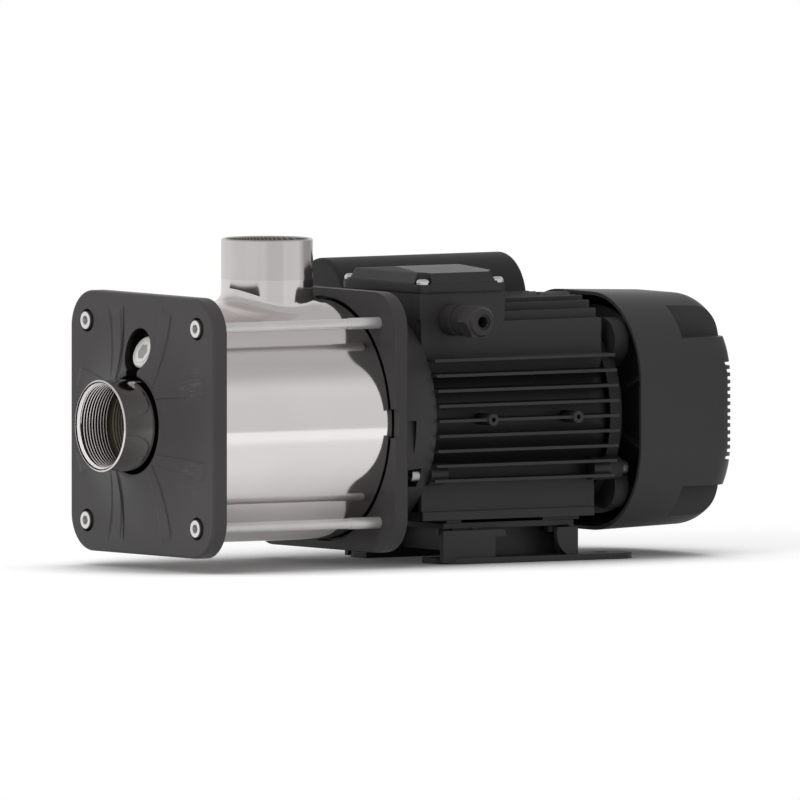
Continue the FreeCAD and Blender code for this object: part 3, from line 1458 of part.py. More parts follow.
def check_and_export():
    """Recompute, stop at anything broken, and write one file per sub-part."""
    doc.recompute()
    for item in doc.Objects:
        if "Invalid" in item.State or "Error" in item.State:
            raise ValueError("%s is not computed: %s" % (item.Label, item.State))
    os.makedirs("parts", exist_ok=True)
    for item in doc.Objects:
        body_made = item.TypeId == "PartDesign::Body" and not item.Label.startswith(("hood_", "face_"))
        if not (body_made or item.Label in ("fan_cover", "front_plate")):
            continue
        if item.Shape.isNull() or not item.Shape.isValid():
            raise ValueError("%s has no valid shape" % item.Label)
        item.Shape.exportStep("parts/%s.step" % item.Label)


check_and_export()
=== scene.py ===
"""A horizontal multistage pump, dressed for its picture: threads, mouths, finishes and studio."""

import json
import math

import bmesh
import bpy
from bpy.props import FloatProperty, FloatVectorProperty, IntProperty, PointerProperty
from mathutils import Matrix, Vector


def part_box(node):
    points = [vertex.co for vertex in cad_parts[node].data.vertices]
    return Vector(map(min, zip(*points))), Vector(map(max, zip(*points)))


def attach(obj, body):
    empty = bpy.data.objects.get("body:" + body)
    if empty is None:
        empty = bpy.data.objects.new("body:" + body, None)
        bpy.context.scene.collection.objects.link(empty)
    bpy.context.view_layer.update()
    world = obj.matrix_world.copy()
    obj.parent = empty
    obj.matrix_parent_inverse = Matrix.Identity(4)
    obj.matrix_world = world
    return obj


bl_info = {
    "name": "Multistage Pump",
    "version": (1, 0, 0),
    "blender": (4, 5, 0),
    "location": "View3D > Sidebar > Pump",
    "description": "Adds the port threads, finishes and studio of a horizontal multistage pump",
    "category": "Object",
}

MM = 0.001
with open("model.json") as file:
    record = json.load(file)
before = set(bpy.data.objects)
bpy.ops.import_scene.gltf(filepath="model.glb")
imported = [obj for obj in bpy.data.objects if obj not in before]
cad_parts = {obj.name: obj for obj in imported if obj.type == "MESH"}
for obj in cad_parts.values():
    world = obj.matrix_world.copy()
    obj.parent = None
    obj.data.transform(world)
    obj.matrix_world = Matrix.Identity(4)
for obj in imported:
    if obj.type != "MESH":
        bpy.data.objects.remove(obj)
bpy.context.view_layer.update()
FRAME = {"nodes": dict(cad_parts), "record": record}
NODES = FRAME["nodes"]
WHITE = (1.0, 1.0, 1.0, 1.0)

# Places on the pump, in metres: the shaft's height over the floor, each tie bolt's distance from
# the shaft sideways and up, and the height of the plug's opening over the shaft
SHAFT = 0.1
BOLT_REACH = 0.069
PLUG_RISE = 0.0515

# The mouths and threads: how far each begins inside its port and how long it is
MOUTH_START, MOUTH_END, MOUTH_HEIGHT = 0.85 * MM, 2.7 * MM, 1.3 * MM
SUCTION_START, SUCTION_LENGTH = 3.6 * MM, 24.9 * MM
DISCHARGE_DEPTH, DISCHARGE_LENGTH = 23.0 * MM, 22.0 * MM
LINING = 0.3 * MM

# Sockets of Blender's Mix node that carry colours
MIX_FIRST, MIX_SECOND, MIX_RESULT = 6, 7, 2

TENT_RADIUS = 0.86


def middle(node):
    """The centre of a CAD node's box."""
    low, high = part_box(node)
    return (Vector(low) + Vector(high)) / 2


# Shader maths


class Wire:
    """One output of a shader node, ready for sums."""

    def __init__(self, net, socket):
        self.net = net
        self.socket = socket

    def maths(self, operation, other, swap=False):
        """A Math node on this value and another."""
        pair = [other, self] if swap else [self, other]
        return self.net.add("ShaderNodeMath", {"operation": operation}, pair)

    def __add__(self, other):
        return self.maths("ADD", other)

    __radd__ = __add__

    def __mul__(self, other):
        return self.maths("MULTIPLY", other)

    __rmul__ = __mul__

    def __sub__(self, other):
        return self.maths("SUBTRACT", other)

    def __rsub__(self, other):
        return self.maths("SUBTRACT", other, swap=True)

    def __pow__(self, other):
        return self.maths("POWER", other)

    def between(self, low, high):
        """0 below low, 1 above high, and a soft rise between them."""
        kind = {"interpolation_type": "SMOOTHSTEP"}
        return self.net.add("ShaderNodeMapRange", kind, [self, low, high, 0.0, 1.0])

    def size(self):
        """The value without its sign."""
        return self.net.add("ShaderNodeMath", {"operation": "ABSOLUTE"}, [self])

    def least(self, other):
        """The smaller of two values."""
        return self.maths("MINIMUM", other)

    def most(self, other):
        """The larger of two values."""
        return self.maths("MAXIMUM", other)


class Net:
    """The node tree of one material or of the world."""

    def __init__(self, tree):
        self.tree = tree
        tree.nodes.clear()

    def add(self, kind, settings=None, inputs=(), output=0):
        """A node of a type, its settings first and then the values or wires of its sockets."""
        node = self.tree.nodes.new(kind)
        for name, value in (settings or {}).items():
            setattr(node, name, value)
        pairs = inputs.items() if isinstance(inputs, dict) else enumerate(inputs)
        for name, value in pairs:
            self.join(node.inputs[name], value)
        return Wire(self, node.outputs[output]) if len(node.outputs) else None

    def join(self, socket, value):
        """Link a wire to a socket, or set the socket's own value."""
        if isinstance(value, Wire):
            self.tree.links.new(value.socket, socket)
        elif value is not None:
            socket.default_value = value

    def places(self, size=(1.0, 1.0, 1.0), centre=(0.0, 0.0, 0.0)):
        """Object coordinates, scaled and moved."""
        here = self.add("ShaderNodeTexCoord", output=3)
        inputs = {"Vector": here, "Location": centre, "Scale": size}
        return self.add("ShaderNodeMapping", {"vector_type": "POINT"}, inputs)

    def axes(self, size=(1.0, 1.0, 1.0)):
        """The three object coordinates, each on its own."""
        parts = self.tree.nodes.new("ShaderNodeSeparateXYZ")
        self.join(parts.inputs[0], self.places(size=size))
        return [Wire(self, part) for part in parts.outputs]

    def noise(self, scale, detail=2.0, rough=0.5, size=(1.0, 1.0, 1.0), twist=0.0):
        """Noise over the surface, between 0 and 1."""
        spots = self.places(size=size)
        inputs = {"Vector": spots, "Scale": scale, "Detail": detail, "Roughness": rough,
                  "Distortion": twist}
        return self.add("ShaderNodeTexNoise", {"noise_dimensions": "3D"}, inputs)

    def cells(self, scale):
        """The distance to scattered points, for pits and specks."""
        inputs = {"Vector": self.places(), "Scale": scale}
        return self.add("ShaderNodeTexVoronoi", {"feature": "F1"}, inputs)

    def blend(self, share, first, second):
        """A colour between two."""
        inputs = {"Factor": share, MIX_FIRST: first, MIX_SECOND: second}
        return self.add("ShaderNodeMix", {"data_type": "RGBA"}, inputs, MIX_RESULT)

    def glow(self, strength):
        """White light of a strength."""
        return self.add("ShaderNodeEmission", {}, {"Color": WHITE, "Strength": strength})

    def ray(self, name):
        """1 for rays of one kind."""
        return self.add("ShaderNodeLightPath", output=name)

    def bumps(self, height, strength, depth, normal=None):
        """A Bump node of so many metres, on top of another normal."""
        inputs = {"Strength": strength, "Distance": depth, "Height": height, "Normal": normal}
        return self.add("ShaderNodeBump", {}, inputs)

    def soft_edges(self, radius):
        """Normals that round the corners of a casting or moulding."""
        return self.add("ShaderNodeBevel", {"samples": 4}, {"Radius": radius})

    def corners(self, radius):
        """1 along the edges and corners, within a radius, and 0 on flat surfaces."""
        rounded = self.soft_edges(radius)
        facing = self.add("ShaderNodeNewGeometry", output=1)
        dot = {"operation": "DOT_PRODUCT"}
        same = self.add("ShaderNodeVectorMath", dot, [rounded, facing], output=1)
        return (1.0 - same).between(0.015, 0.22)

    def openness(self, samples, inputs):
        """1 on open surfaces and 0 where other pieces are close."""
        return self.add("ShaderNodeAmbientOcclusion", {"samples": samples}, inputs, output=1)

    def crevices(self, reach):
        """0 on open surfaces and 1 deep in corners and gaps."""
        return 1.0 - self.openness(6, {"Distance": reach})

    def surface(self, colour, rough, metal=0.0, normal=None, coat=0.0, coat_rough=0.1, gleam=0.5):
        """The finished surface and its output."""
        colour = (*colour, 1.0) if isinstance(colour, tuple) else colour
        inputs = {"Base Color": colour, "Roughness": rough, "Metallic": metal, "Normal": normal,
                  "Coat Weight": coat, "Coat Roughness": coat_rough, "Specular IOR Level": gleam}
        shader = self.add("ShaderNodeBsdfPrincipled", {}, inputs)
        self.add("ShaderNodeOutputMaterial", {}, {"Surface": shader})


def material(name):
    """A new material and its node tree."""
    made = bpy.data.materials.new(name)
    made.use_nodes = True
    return made, Net(made.node_tree)


def toned(colour, factor):
    """A colour made lighter or darker."""
    return tuple(min(1.0, channel * factor) for channel in colour)


def shade(colour, factor):
    """A colour made lighter or darker, with its alpha."""
    return toned(colour, factor) + (1.0,)


def away_from(across, up, side=0.0, rise=0.0):
    """The distance in the plates' plane from a point beside and over the shaft."""
    return ((across - side) ** 2.0 + (up - rise) ** 2.0) ** 0.5


def powder_coat(name, colour, rough=0.42, wear=1.0, edge=0.0007, crevice_shade=0.15, front=False):
    """Satin black coat on a casting: fine orange peel, soft cloudiness and a few dull scuffs.

    A painted highlight runs along the edges and corners, and painted shade darkens crevices and
    gaps to crevice_shade times the colour. The front plate has its folds, scratches and shaded
    openings as well, with painted shade along the folds.
    """
    made, net = material(name)
    cloud = net.noise(14.0, 3.0)
    grain = net.noise(1500.0, 2.0, 0.6)
    peel = net.noise(420.0, 1.0)
    scuff = net.noise(60.0, 6.0, 0.72, (0.5, 3.0, 0.7), 1.2).between(0.60, 0.74)
    patch = net.noise(9.0, 1.0).between(0.50, 0.66)
    marks = scuff * patch * wear
    tone = net.blend(cloud, shade(colour, 0.88), shade(colour, 1.14))
    tone = net.blend(marks * 0.35, tone, shade(colour, 2.6))
    height = grain * 0.6 + peel * 0.4
    normal = net.bumps(height, 0.35, 0.00006, net.soft_edges(edge))
    if front:
        folds, scratches = plate_marks(net)
        tone = net.blend(scratches * 0.40, tone, shade(colour, 4.0))
        # Painted shade along the casting folds; the bump below gives them their relief
        tone = net.blend(folds ** 1.6 * 0.40, tone, shade(colour, 0.25))
        normal = net.bumps(0.0 - folds, 1.0, 0.0012, normal)
    # Crevices and gaps, found by an occlusion test, where the painted shade goes
    deep = net.crevices(0.010).between(0.35, 0.95)
    # Painted highlight along edges and corners, kept out of the crevices
    tone = net.blend(net.corners(0.0006) * (1.0 - deep) * 0.5, tone, shade(colour, 3.2))
    # Painted shade in crevices and gaps
    tone = net.blend(deep, tone, shade(colour, crevice_shade))
    if front:
        tone = net.blend(shaded_openings(net), tone, shade(colour, 0.06))
    net.surface(tone, rough + (cloud - 0.5) * 0.10 + marks * 0.12, 0.0, normal, gleam=0.28)
    return made


def shaded_openings(net):
    """1 on the walls of the counterbores, the port opening and the keyhole of the front plate."""
    across, height = net.axes()[1:]
    up = height - SHAFT
    bolt = away_from(across.size(), up.size(), BOLT_REACH, BOLT_REACH)
    port = away_from(across, up)
    plug = away_from(across, up, 0.0, PLUG_RISE)
    neck = across.size().most((up - 0.0362).size() - 0.0095)
    walls = bolt - 0.0078
    for gap, size in ((port, 0.03435), (plug, 0.0151), (neck, 0.00685)):
        walls = walls.least(gap - size)
    return 1.0 - walls.between(0.0, 0.0005)


def plate_marks(net):
    """Two casting folds beside the port, and the scratches at the right edge of the plate."""
    across, height = net.axes()[1:]
    up = height - SHAFT
    height = up.size()
    fade = height.between(0.028, 0.040) * (1.0 - height.between(0.070, 0.084))
    folds = 0.0
    for start, slope, width in ((0.0290, 0.235, 0.0024), (0.0165, 0.185, 0.0022)):
        away = (across - start - (height - 0.03) * slope).size()
        folds = folds + (1.0 - away.between(0.0, width))
    patch = None
    for side, rise, wide in ((-0.064, 0.030, 0.020), (-0.060, -0.034, 0.018)):
        spot = 1.0 - away_from(across, up, side, rise).between(0.0, wide)
        patch = spot if patch is None else patch.most(spot)
    hairs = net.noise(700.0, 4.0, 0.7, (1.0, 0.07, 1.3)).between(0.50, 0.66)
    return folds * fade, hairs * patch


def moulded_plastic(name, colour, rough=0.40, edge=0.0006):
    """Black moulding with a fine spark-eroded grain and a painted highlight along its edges."""
    made, net = material(name)
    cloud = net.noise(9.0, 2.0)
    pits = net.cells(2600.0)
    grain = net.noise(1900.0, 2.0, 0.6)
    tone = net.blend(cloud, shade(colour, 0.92), shade(colour, 1.10))
    # Painted highlight along edges and corners
    tone = net.blend(net.corners(0.0005) * 0.4, tone, shade(colour, 3.0))
    normal = net.bumps(grain * 0.7 + pits * 0.3, 0.25, 0.00004, net.soft_edges(edge))
    net.surface(tone, rough + (cloud - 0.5) * 0.08, 0.0, normal, gleam=0.28)
    return made


def polished_sheet(name, colour, rough, grain_size, brushed=1.0, rippled=1.0, faced_to=None):
    """Polished stainless sheet: hairlines along one direction, faint smears and soft waves.

    The suction barrel's end is faced bright up to faced_to, with a dark ring of painted shade round
    it where a groove would be, and a dull bore behind it.
    """
    made, net = material(name)
    hairs = net.noise(900.0, 3.0, 0.7, grain_size)
    smear = net.noise(16.0, 4.0, 0.6)
    wave = net.noise(7.0, 1.0)
    tone = net.blend(smear, shade(colour, 0.94), shade(colour, 1.04))
    tone = net.blend(hairs * 0.10 * brushed, tone, shade(colour, 0.72))
    normal = net.bumps(hairs, 0.10 * brushed, 0.00002)
    normal = net.bumps(wave, 0.12 * rippled, 0.0008, normal)
    metal = 1.0
    shine = rough + (smear - 0.5) * 0.06 + hairs * (0.04 * brushed)
    if faced_to is not None:
        along, across, height = net.axes()
        radius = away_from(across, height - SHAFT)
        behind = along.between(faced_to, faced_to + 0.0002)
        inside = 1.0 - radius.between(0.0301, 0.0305)
        bore = along.between(faced_to + 0.0010, faced_to + 0.0016) * inside
        chamfer = 1.0 - along.between(faced_to + 0.0010, faced_to + 0.0012)
        groove_shade = (1.0 - radius.between(0.0306, 0.0308)) * chamfer
        tone = net.blend(bore, tone, (0.085, 0.076, 0.060, 1.0))
        # Painted shade: a dark ring where a groove would be
        tone = net.blend(groove_shade, tone, (0.020, 0.020, 0.020, 1.0))
        metal = (0.35 + behind * 0.65) * (1.0 - bore * 0.6)
        shine = shine + bore * 0.3
    net.surface(tone, shine, metal, normal)
    return made


def turned_metal(name, colour, rough, dull=0.06, pitted=0.0):
    """Turned or plated metal with fine marks and uneven shine."""
    made, net = material(name)
    cloud = net.noise(60.0, 3.0)
    marks = net.noise(1400.0, 2.0, 0.6)
    pits = net.cells(700.0).between(0.0, 0.22)
    tone = net.blend(cloud, shade(colour, 0.90), shade(colour, 1.06))
    normal = net.bumps(marks + pits * pitted, 0.12, 0.00003, net.soft_edges(0.0003))
    net.surface(tone, rough + (cloud - 0.5) * dull, 1.0, normal)
    return made


def threaded_bore(name, colour):
    """The dull wall behind the port's thread, its last turns cut into it with painted highlights on
    the crests.
    """
    half_turn = 1.1545 * MM
    made, net = material(name)
    here = net.add("ShaderNodeSeparateXYZ", {}, [net.places()])
    turns = net.add("ShaderNodeMath", {"operation": "PINGPONG"}, [here, half_turn])
    turns = turns * (1.0 / half_turn)
    crest_highlight = turns.between(0.62, 0.95)
    stain = net.noise(70.0, 4.0, 0.6)
    tone = net.blend(stain, shade(colour, 0.75), shade(colour, 1.2))
    # Painted highlight on the crests of the turns
    tone = net.blend(crest_highlight * 0.9, tone, shade(colour, 2.8))
    net.surface(tone, 0.42 + stain * 0.1, 0.35, net.bumps(turns, 0.9, 0.0009))
    return made


def cut_thread(name, colour, across, centre, shaded_from=None):
    """A cut thread, bright on its crests, with brown painted shade between them.

    Behind shaded_from, along the shaft, painted shade darkens the crests as well.
    """
    made, net = material(name)
    home = tuple(-share * place for share, place in zip(across, centre))
    spot = net.places(size=across, centre=home)
    radius = net.add("ShaderNodeVectorMath", {"operation": "LENGTH"}, [spot], output=1)
    deep = radius.between(28.60 * MM, 29.05 * MM)
    stain = net.noise(90.0, 3.0)
    root_shade = net.blend(stain, (0.10, 0.09, 0.075, 1.0), (0.17, 0.155, 0.13, 1.0))
    # Painted shade, brown, between the crests
    tone = net.blend(deep, shade(colour, 1.05), root_shade)
    if shaded_from is not None:
        along = net.axes()[0]
        # Painted shade deeper in the bore
        tone = net.blend(along.between(shaded_from + 0.004, shaded_from + 0.030) * 0.75, tone, root_shade)
    net.surface(tone, 0.22 + stain * 0.10, 0.9, net.bumps(stain, 0.1, 0.00005))
    return made


def faced_metal(name, colour, metal=0.35):
    """Steel faced on a lathe: bright, even and a little rough, with fine rings."""
    made, net = material(name)
    cloud = net.noise(50.0, 3.0)
    fine = net.noise(1800.0, 2.0)
    tone = net.blend(cloud, shade(colour, 0.92), shade(colour, 1.05))
    normal = net.bumps(fine, 0.12, 0.00003, net.soft_edges(0.0002))
    net.surface(tone, 0.30 + (cloud - 0.5) * 0.08, metal, normal)
    return made


def plated_bolt(name, colour):
    """Plated bolt steel, duller than the shell, with fine turning marks and a bright head, and
    painted shade round the head's rim and at its centre.
    """
    made, net = material(name)
    cloud = net.noise(40.0, 3.0)
    rings = net.noise(1500.0, 1.0, 0.5, (1.0, 0.05, 0.05))
    tone = net.blend(cloud, shade(colour, 0.9), shade(colour, 1.08))
    here, across, height = net.axes()
    up = height - SHAFT
    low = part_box("tie_bolts")[0]
    head = 1.0 - here.between(low[0] + 0.010, low[0] + 0.011)
    bolt = away_from(across.size(), up.size(), BOLT_REACH, BOLT_REACH)
    tone = net.blend(head, tone, (0.80, 0.79, 0.77, 1.0))
    # Painted shade: a dark ring round the head's rim
    tone = net.blend(head * bolt.between(0.0056, 0.0061), tone, (0.06, 0.06, 0.06, 1.0))
    # Painted shade: a dark disc at the head's centre
    tone = net.blend(head * (1.0 - bolt.between(0.0026, 0.0034)), tone, (0.20, 0.19, 0.18, 1.0))
    metal = 0.62 - head * 0.22
    normal = net.bumps(rings, 0.15, 0.00003, net.soft_edges(0.0003))
    net.surface(tone, 0.33 + (cloud - 0.5) * 0.08, metal, normal)
    return made


def moulded_rubber(name, colour):
    """Matt rubber with a dusty bloom."""
    made, net = material(name)
    bloom = net.noise(120.0, 4.0, 0.65)
    grain = net.noise(1600.0, 2.0)
    tone = net.blend(bloom, shade(colour, 0.8), shade(colour, 1.7))
    net.surface(tone, 0.62 + bloom * 0.18, 0.0, net.bumps(grain, 0.3, 0.00005))
    return made


def stacked_laminations(name, colour):
    """Punched sheets stacked along the shaft, with the dark lines between them."""
    made, net = material(name)
    along = net.axes()[0]
    lines = net.add("ShaderNodeMath", {"operation": "FRACT"}, [along * 2000.0])
    dark = lines.between(0.80, 0.95)
    rust = net.noise(200.0, 3.0).between(0.55, 0.75)
    tone = net.blend(dark * 0.6, shade(colour, 1.0), shade(colour, 0.35))
    tone = net.blend(rust * 0.25, tone, (0.20, 0.11, 0.07, 1.0))
    net.surface(tone, 0.38 + dark * 0.2, 1.0, net.bumps(1.0 - dark, 0.5, 0.00008))
    return made


def wound_wire(name, colour):
    """Varnished copper wire, laid side by side."""
    made, net = material(name)
    wires = net.noise(500.0, 2.0, 0.5, (1.0, 0.25, 0.25), 0.6)
    drips = net.noise(90.0, 3.0).between(0.5, 0.7)
    tone = net.blend(wires, shade(colour, 0.55), shade(colour, 1.2))
    tone = net.blend(drips * 0.4, tone, (0.22, 0.07, 0.03, 1.0))
    net.surface(tone, 0.30 + wires * 0.12, 0.85, net.bumps(wires, 0.6, 0.0003), 0.5, 0.15)
    return made


def lapped_ceramic(name, colour):
    """A lapped seal face with a faint grain."""
    made, net = material(name)
    specks = net.noise(900.0, 3.0, 0.7)
    tone = net.blend(specks, shade(colour, 0.7), shade(colour, 1.4))
    net.surface(tone, 0.16 + specks * 0.08, 0.0, net.bumps(specks, 0.08, 0.00003))
    return made


def painted_can(name, colour):
    """The capacitor's smooth casing."""
    made, net = material(name)
    cloud = net.noise(30.0, 3.0)
    tone = net.blend(cloud, shade(colour, 0.92), shade(colour, 1.05))
    net.surface(tone, 0.28 + cloud * 0.1, 0.0, net.bumps(net.noise(500.0, 2.0), 0.1, 0.00004))
    return made


# Sizes and colours that can be changed


class PUMP_PG_ports(bpy.types.PropertyGroup):
    """The pipe threads in the two ports."""

    pitch: FloatProperty(
        name="Pitch", description="Distance between two threads", default=2.309 * MM,
        min=0.5 * MM, max=5 * MM, unit="LENGTH", precision=5)
    outer: FloatProperty(
        name="Outer radius", description="Radius of the thread at its roots", default=29.8 * MM,
        unit="LENGTH", precision=5)
    depth: FloatProperty(
        name="Depth", description="Height of the thread over its roots", default=1.35 * MM,
        unit="LENGTH", precision=5)
    steps: IntProperty(
        name="Steps", description="Steps in one turn of the thread", default=72, min=12, max=256)
    thread_end: FloatProperty(
        name="Thread end", description="Depth at which the suction thread ends", default=28.0 * MM,
        unit="LENGTH", precision=5)
    bore_end: FloatProperty(
        name="Bore end", description="Depth at which the suction bore opens into the pump",
        default=47.5 * MM, unit="LENGTH", precision=5)
    waterway: FloatProperty(
        name="Waterway", description="Radius of the bore behind the suction thread",
        default=28.4 * MM, unit="LENGTH", precision=5)


class PUMP_PG_finishes(bpy.types.PropertyGroup):
    """The colours of the main finishes."""

    cast: FloatVectorProperty(
        name="Castings", description="Colour of the coated plates and motor",
        subtype="COLOR", size=3, default=(0.030, 0.028, 0.029), min=0, max=1)
    plastic: FloatVectorProperty(
        name="Mouldings", description="Colour of the covers and the gland",
        subtype="COLOR", size=3, default=(0.030, 0.028, 0.029), min=0, max=1)
    stainless: FloatVectorProperty(
        name="Stainless steel", description="Colour of the shell and the ports",
        subtype="COLOR", size=3, default=(0.87, 0.83, 0.822), min=0, max=1)
    screws: FloatVectorProperty(
        name="Screws", description="Colour of the plated screws and the plug",
        subtype="COLOR", size=3, default=(0.78, 0.77, 0.75), min=0, max=1)


class PUMP_PG_studio(bpy.types.PropertyGroup):
    """The camera and the light."""

    azimuth: FloatProperty(
        name="Azimuth", description="Turn of the camera round the pump",
        default=math.radians(-33.27), subtype="ANGLE")
    elevation: FloatProperty(
        name="Elevation", description="Height angle of the camera",
        default=math.radians(3.07), subtype="ANGLE")
    width: FloatProperty(
        name="Width", description="Width of the picture at the pump", default=0.5517,
        unit="LENGTH")
    key: FloatProperty(
        name="Key light", description="Power of the large lamp at the front", default=34.0,
        unit="POWER")
    fill: FloatProperty(
        name="Fill light", description="Power of the lamp at the side", default=9.0, unit="POWER")
    top: FloatProperty(
        name="Top light", description="Power of the broad lamp overhead", default=30.0,
        unit="POWER")
    sky: FloatProperty(
        name="Room light", description="Level of the light from all round", default=0.45,
        min=0, max=2)


# Pieces


def finished_piece(mesh_maker, name, body, look, smooth=True):
    """A new object from a bmesh, riding on its body."""
    mesh = bpy.data.meshes.new(name)
    mesh_maker.to_mesh(mesh)
    mesh_maker.free()
    mesh.polygons.foreach_set("use_smooth", [smooth] * len(mesh.polygons))
    piece = bpy.data.objects.new(name, mesh)
    bpy.context.scene.collection.objects.link(piece)
    piece.data.materials.append(look)
    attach(piece, body)
    return piece


def closed_line(shape, points):
    """The edges that join points into a closed line."""
    return [shape.edges.new((points[n], points[(n + 1) % len(points)])) for n in range(len(points))]


def wind_thread(shape, start, along, sizes, length):
    """A thread that winds along a bore from its start."""
    pitch, outer, depth, steps = sizes.pitch, sizes.outer, sizes.depth, sizes.steps
    across = Vector((0, 1, 0))
    low = pitch * 0.46
    flank = [(-low, 0.02 * MM), (-low * 0.30, -depth * 0.88), (-low * 0.12, -depth),
             (low * 0.12, -depth), (low * 0.30, -depth * 0.88), (low, 0.02 * MM)]
    corners = [shape.verts.new(start + along * step + across * (outer + rise))
               for step, rise in flank]
    edges = closed_line(shape, corners)
    count = round((length - pitch) / pitch * steps)
    bmesh.ops.spin(shape, geom=corners + edges, cent=start, axis=along,
                   dvec=along * (pitch / steps), angle=math.tau / steps * count, steps=count,
                   use_merge=False, use_duplicate=False)
    bmesh.ops.holes_fill(shape, edges=[edge for edge in shape.edges if edge.is_boundary], sides=8)
    bmesh.ops.recalc_face_normals(shape, faces=shape.faces)


def turned_ring(shape, centre, along, corners):
    """A closed ring from the corners of its section, each a step along the axis and a radius."""
    across = along.orthogonal().normalized()
    points = [shape.verts.new(centre + along * step + across * radius) for step, radius in corners]
    edges = closed_line(shape, points)
    bmesh.ops.spin(shape, geom=points + edges, cent=centre, axis=along, angle=math.tau, steps=128,
                   use_merge=True, use_duplicate=False)
    bmesh.ops.remove_doubles(shape, verts=shape.verts, dist=1e-6)
    bmesh.ops.recalc_face_normals(shape, faces=shape.faces)


class PUMP_OT_port_mouths(bpy.types.Operator):
    """Turn the bright chamfers into the mouths of both ports"""

    bl_idname = "pump.port_mouths"
    bl_label = "Port mouths"

    def execute(self, context):
        wall = context.scene.pump_ports.outer
        for name, node, along in (("suction_mouth", "inlet_cover", Vector((1, 0, 0))),
                                  ("discharge_mouth", "discharge_port", Vector((0, 0, -1)))):
            low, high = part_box(node)
            suction, discharge = (low[0], 0.0, SHAFT), (middle(node).x, 0.0, high[2])
            centre = Vector(suction if along.x else discharge)
            shape = bmesh.new()
            root = wall + 0.02 * MM
            corners = [(MOUTH_START, root), (MOUTH_END, root), (MOUTH_END, wall - MOUTH_HEIGHT)]
            turned_ring(shape, centre, along, corners)
            look = looks()["mouth_steel" if along.x else "bore_wall"]
            finished_piece(shape, name, "pump", look, smooth=False)
        return {"FINISHED"}


class PUMP_OT_bore_wall(bpy.types.Operator):
    """Line the waterway behind the suction thread"""

    bl_idname = "pump.bore_wall"
    bl_label = "Bore wall"

    def execute(self, context):
        sizes = context.scene.pump_ports
        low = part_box("inlet_cover")[0]
        start, end = sizes.thread_end, sizes.bore_end
        shape = bmesh.new()
        wall = sizes.waterway
        corners = [(start, wall - LINING), (start, wall), (end, wall), (end, wall - LINING)]
        turned_ring(shape, Vector((low[0], 0.0, SHAFT)), Vector((1, 0, 0)), corners)
        finished_piece(shape, "bore_wall", "pump", looks()["bore_wall"], smooth=False)
        return {"FINISHED"}


class PUMP_OT_suction_thread(bpy.types.Operator):
    """Wind the pipe thread into the suction port"""

    bl_idname = "pump.suction_thread"
    bl_label = "Suction thread"

    def execute(self, context):
        sizes = context.scene.pump_ports
        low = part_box("inlet_cover")[0]
        shape = bmesh.new()
        start = Vector((low[0] + SUCTION_START, 0.0, SHAFT))
        wind_thread(shape, start, Vector((1, 0, 0)), sizes, SUCTION_LENGTH)
        finished_piece(shape, "suction_thread", "pump", looks()["suction_cut"])
        return {"FINISHED"}


class PUMP_OT_discharge_thread(bpy.types.Operator):
    """Wind the pipe thread into the discharge port"""

    bl_idname = "pump.discharge_thread"
    bl_label = "Discharge thread"

    def execute(self, context):
        sizes = context.scene.pump_ports
        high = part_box("discharge_port")[1]
        centre = middle("discharge_port")
        shape = bmesh.new()
        start = Vector((centre.x, 0.0, high[2] - DISCHARGE_DEPTH))
        wind_thread(shape, start, Vector((0, 0, 1)), sizes, DISCHARGE_LENGTH)
        finished_piece(shape, "discharge_thread", "pump", looks()["discharge_cut"])
        return {"FINISHED"}


# Finishes

LOOKS = {}


